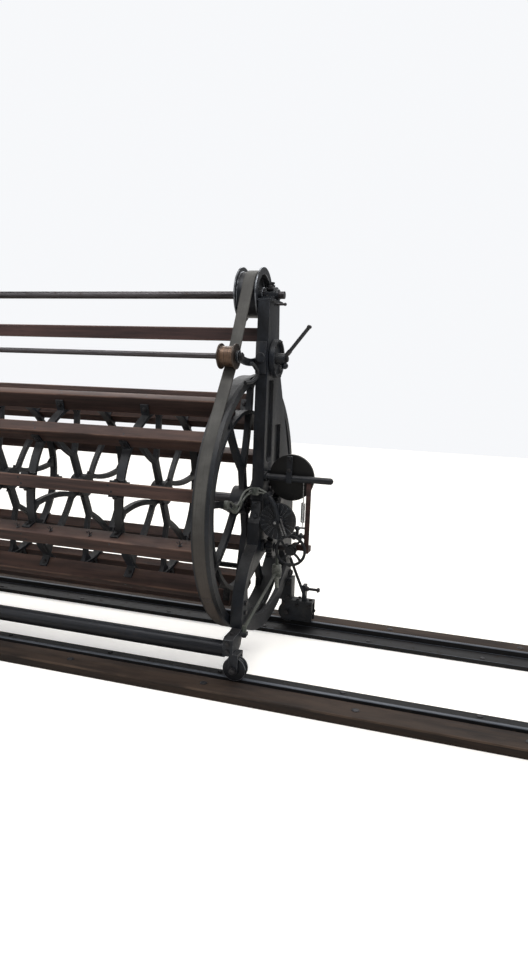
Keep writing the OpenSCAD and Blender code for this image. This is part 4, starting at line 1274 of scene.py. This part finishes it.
@dataclass
class Studio:
    """The floor, the lights and the camera."""

    eye: Point = (2.39, -3.63, 1.55)
    right: Point = (0.9502, 0.3093, 0.0376)
    up: Point = (-0.0799, 0.1251, 0.9889)
    back: Point = (0.3012, -0.9427, 0.1435)
    lens: float = 26.29
    sensor: float = 36.0
    floor_half: float = 13.0
    floor_glow: float = 0.42
    sky: Colour = (0.93, 0.94, 0.96)
    sky_light: float = 0.38
    sky_seen: float = 0.62
    sky_shine: float = 0.16
    lamps: tuple[Lamp, ...] = (
        Lamp("over_front", (0.3, -1.6, 4.6), (0.2, 0.0, 0.8), (7.0, 1.2), 210.0),
        Lamp("over_rear", (0.6, 2.4, 4.4), (0.2, 0.0, 0.9), (7.0, 1.4), 150.0),
        Lamp("far_floor", (-2.0, 9.0, 6.0), (-2.0, 9.0, 0.0), (24.0, 10.0), 1100.0),
        Lamp("side_left", (-4.2, -4.6, 3.0), (0.4, 0.0, 0.9), (2.6, 2.6), 80.0),
        Lamp("side_right", (4.8, -3.8, 2.7), (0.8, 0.0, 0.9), (2.6, 2.6), 20.0),
    )

    def build(self) -> None:
        """Sets up everything around the machine."""
        self.camera()
        self.floor()
        for lamp in self.lamps:
            lamp.hang()
        self.world()
        bpy.context.scene.view_settings.view_transform = "Standard"

    def camera(self) -> None:
        """Places the camera where the photo was taken."""
        data = bpy.data.cameras.new("camera")
        data.lens, data.sensor_width, data.sensor_fit, data.clip_end = self.lens, self.sensor, "AUTO", 100.0
        camera = show("camera", data)
        columns = (self.right, self.up, self.back, self.eye)
        camera.matrix_world = Matrix([[column[row] for column in columns] for row in range(3)] + [[0, 0, 0, 1]])
        bpy.context.scene.camera = camera

    def floor(self) -> None:
        """Lays a plain pale floor, a little below the sills, that glows faintly for the camera alone."""
        mesh = bmesh.new()
        place = Matrix.Translation((0, 0, -0.001))
        bmesh.ops.create_grid(mesh, x_segments=1, y_segments=1, size=self.floor_half, matrix=place)
        data = bpy.data.meshes.new("floor")
        mesh.to_mesh(data)
        mesh.free()
        coat = Coat("pale_floor")
        data.materials.append(coat.finish(paint(226, 221, 213), 0.6))
        seen = coat.node("ShaderNodeLightPath", output="Is Camera Ray")
        join(coat.tree, coat.shader.inputs["Emission Color"], seen * self.floor_glow)
        coat.shader.inputs["Emission Strength"].default_value = 1.0
        show("floor", data)

    def world(self) -> None:
        """Gives an even grey light, a white background and slightly dimmer reflections."""
        world = bpy.data.worlds.new("studio")
        bpy.context.scene.world = world
        world.use_nodes = True
        graph = Graph(world.node_tree)
        seen = graph.node("ShaderNodeLightPath", output="Is Camera Ray")
        seen = seen.top(graph.node("ShaderNodeLightPath", output="Is Transmission Ray"))
        shown = graph.node("ShaderNodeLightPath", output="Is Glossy Ray")
        strength = seen * self.sky_seen - shown * self.sky_shine + self.sky_light
        sky = graph.node("ShaderNodeBackground", inputs={"Color": self.sky, "Strength": strength})
        graph.add("ShaderNodeOutputWorld", inputs={0: sky})


def dress_rest(coats: Coats) -> None:
    """Gives every solid that is still shown its slot's material.

    Args:
        coats: the materials by slot.
    """
    for name, piece in frame["nodes"].items():
        coat = coats[slot_of(name)]
        if not piece.material_slots:
            piece.data.materials.append(coat)
        for slot in piece.material_slots:
            slot.material = coat


def main() -> None:
    """Builds the dressed machine and its studio."""
    logging.basicConfig(level=logging.INFO, format="%(message)s")
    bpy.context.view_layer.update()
    coats = finishes()
    dress_rest(coats)
    Studio().build()
    for part in (Track, EndFrames, Drum, BandDrive, TightenerKit, HandGear):
        part(coats).build()
        log.info("%s is done", part.__name__)


if __name__ == "__main__":
    main()
